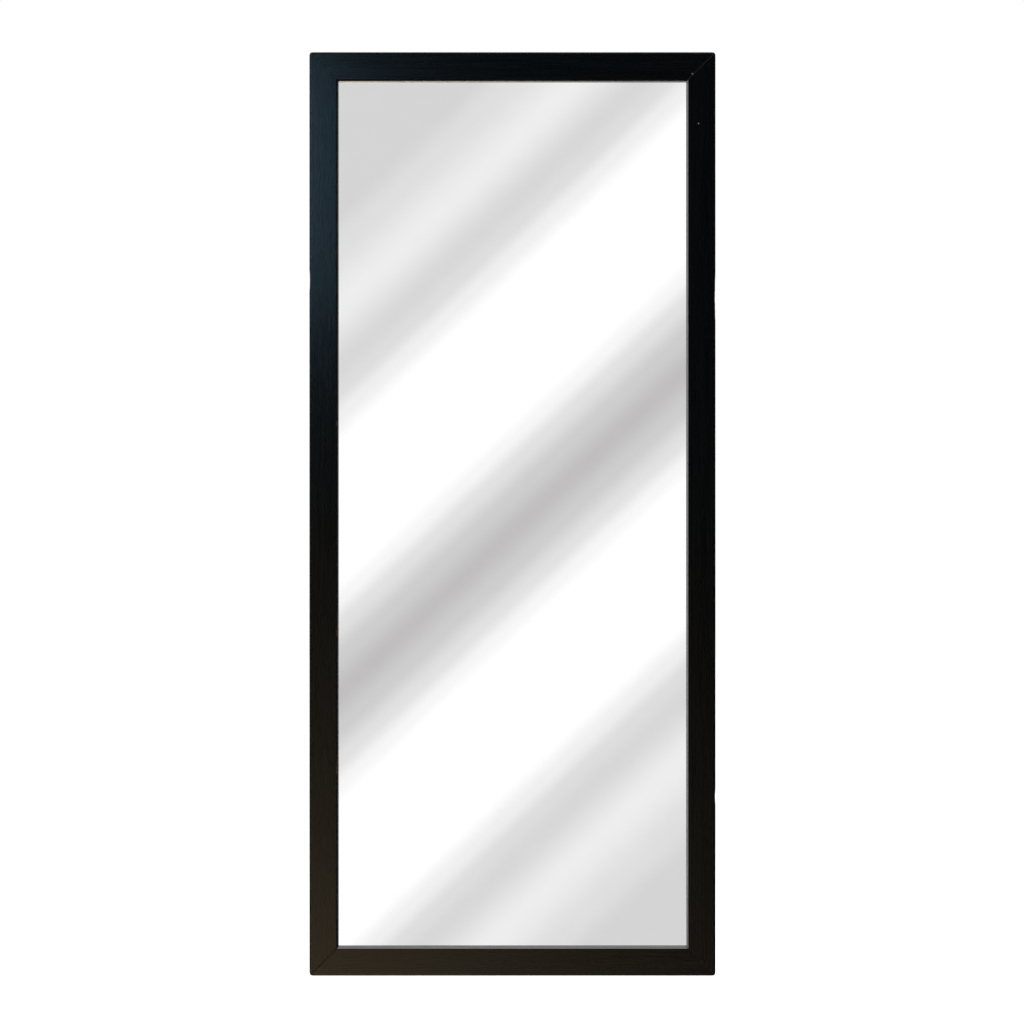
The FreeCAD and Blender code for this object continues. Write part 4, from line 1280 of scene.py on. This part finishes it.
@dataclass
class Studio:
    """Floor, lamps, surroundings and camera."""

    camera_distance: float = 2.95
    view_width: float = 1.3508
    face_y: float = -0.048
    picture_centre: tuple[float, float] = (-0.0006, 0.0026)
    sensor: float = 36.0
    floor_z: float = -1.1
    floor_reach: float = 14.0
    floor_glow: float = 0.6
    ambient: float = 0.6
    bands: StudioBands = StudioBands()
    strip: GlowStrip = GlowStrip()
    cards: tuple[SoftCard, ...] = (
        SoftCard((-0.6, 0.35, 0.6), "eef5ff", ((-1, 0.01), (-0.1, 0.01), (0.22, 0.2), (0.5, 0.5), (1, 0.7))),
        SoftCard((-0.17, -1.0, -0.38), "ffe0b0", ((0.982, 0.0), (0.992, 4.9), (0.996, 9.0), (1, 9.0))),
        SoftCard((0.15, 1.0, 0.2), "f6f8ff", ((-0.05, 0.0), (0.2, 0.25), (0.6, 0.65), (1, 0.8))),
    )
    lamps: tuple[Lamp, ...] = (
        Lamp("front_softbox", (-1.85, -1.9, 1.69), (0, 0, 0.1), (1.5, 1.5), "dcebff", 5.0),
        Lamp("left_strip", (-2.4, -0.35, 0.0), (0.25, 0, 0), (0.5, 2.4), "ffffff", 18.0),
        Lamp("overhead_strip", (0.0, -0.75, 1.9), (0, -0.1, -0.6), (1.4, 0.8), "fff6ec", 18.0),
        Lamp("back_softbox", (1.6, 3.0, 1.6), (0, 0, 0), (3.2, 3.2), "ffffff", 60.0),
    )

    def camera(self) -> None:
        """Adds a level camera straight in front of the glass, without any shift of its lens."""
        data = bpy.data.cameras.new("camera")
        data.sensor_width = self.sensor
        data.lens = self.sensor * self.camera_distance / self.view_width
        camera = add_object("camera", data)
        across, up = self.picture_centre
        camera.location = (across, self.face_y - self.camera_distance, up)
        camera.rotation_euler = (math.pi / 2, 0, 0)
        bpy.context.scene.camera = camera

    def floor_material(self) -> bpy.types.Material:
        """Pale paper that looks white to the camera, takes a shadow, and lets gloss see the studio.

        Returns:
            The floor's material.
        """
        material = empty_material("pale_floor")
        tree = material.node_tree
        place = add_node(tree, "ShaderNodeTexCoord").outputs["Object"]
        mottle = add_node(tree, "ShaderNodeTexNoise", {"Vector": place, "Scale": 3.0, "Detail": 2.0})
        tone = add_node(tree, "ShaderNodeValToRGB", {"Fac": mottle})
        set_ramp(tone, ((0.3, linear("ececea")), (0.7, linear("f2f2f0"))))
        matt = {"Base Color": tone, "Roughness": 0.9, "Specular IOR Level": 0.2}
        paper = add_node(tree, "ShaderNodeBsdfPrincipled", matt)
        seen = add_node(tree, "ShaderNodeLightPath").outputs
        to_camera = {0: seen["Is Camera Ray"], 1: self.floor_glow}
        bright = add_node(tree, "ShaderNodeMath", to_camera, operation="MULTIPLY")
        glow = add_node(tree, "ShaderNodeEmission", {"Color": grey(1.0), "Strength": bright})
        both = add_node(tree, "ShaderNodeAddShader", {0: paper, 1: glow})
        clear = add_node(tree, "ShaderNodeBsdfTransparent")
        chosen = add_node(tree, "ShaderNodeMixShader", {0: seen["Is Glossy Ray"], 1: both, 2: clear})
        add_node(tree, "ShaderNodeOutputMaterial", {"Surface": chosen})
        return material

    def floor(self) -> None:
        """Adds the floor."""
        data = bpy.data.meshes.new("floor")
        corners = [(x * self.floor_reach, y * self.floor_reach, self.floor_z) for x, y in SQUARE]
        data.from_pydata(corners, [], [(0, 1, 2, 3)])
        data.materials.append(self.floor_material())
        add_object("floor", data)

    def surroundings(self) -> None:
        """White for the camera, flags for the mirror, cards for gloss, and an even light for the rest."""
        world = bpy.data.worlds.new("studio")
        bpy.context.scene.world = world
        world.use_nodes = True
        tree = world.node_tree
        tree.nodes.clear()
        direction = add_node(tree, "ShaderNodeTexCoord").outputs["Generated"]
        seen = add_node(tree, "ShaderNodeLightPath").outputs
        gloss = self.cards[0].seen(tree, direction)
        for card in self.cards[1:]:
            light = {0: gloss, 1: card.seen(tree, direction)}
            gloss = add_node(tree, "ShaderNodeVectorMath", light, operation="ADD")
        across, up = self.picture_centre
        slope = self.bands.slope
        shift = (up * math.cos(slope) - across * math.sin(slope)) / self.camera_distance
        flags = self.bands.seen(tree, direction, shift)
        reflecting = {0: seen["Is Glossy Ray"], 1: seen["Is Transmission Ray"]}
        glossy = add_node(tree, "ShaderNodeMath", reflecting, operation="MAXIMUM")
        sharp = {"Factor": seen["Is Singular Ray"], "A": gloss, "B": flags}
        reflected = add_node(tree, "ShaderNodeMix", sharp, data_type="RGBA")
        bounced = {"Factor": glossy, "A": grey(self.ambient), "B": reflected}
        lit = add_node(tree, "ShaderNodeMix", bounced, data_type="RGBA")
        straight = {"Factor": seen["Is Camera Ray"], "A": lit, "B": grey(1.0)}
        shown = add_node(tree, "ShaderNodeMix", straight, data_type="RGBA")
        background = add_node(tree, "ShaderNodeBackground", {"Color": shown, "Strength": 1.0})
        add_node(tree, "ShaderNodeOutputWorld", {"Surface": background})

    def build(self) -> None:
        """Adds everything round the object."""
        bpy.context.scene.view_settings.view_transform = "Standard"
        self.camera()
        self.floor()
        self.surroundings()
        self.strip.build()
        for lamp in self.lamps:
            lamp.build()


def main() -> None:
    """Loads the frame and builds each part of the model."""
    logging.basicConfig(level=logging.INFO, format="%(name)s: %(message)s")
    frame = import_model()
    Studio().build()
    Moulding().build()
    BallRows().build()
    Fasteners().build()
    DressedNodes().build(frame["nodes"])


if __name__ == "__main__":
    main()
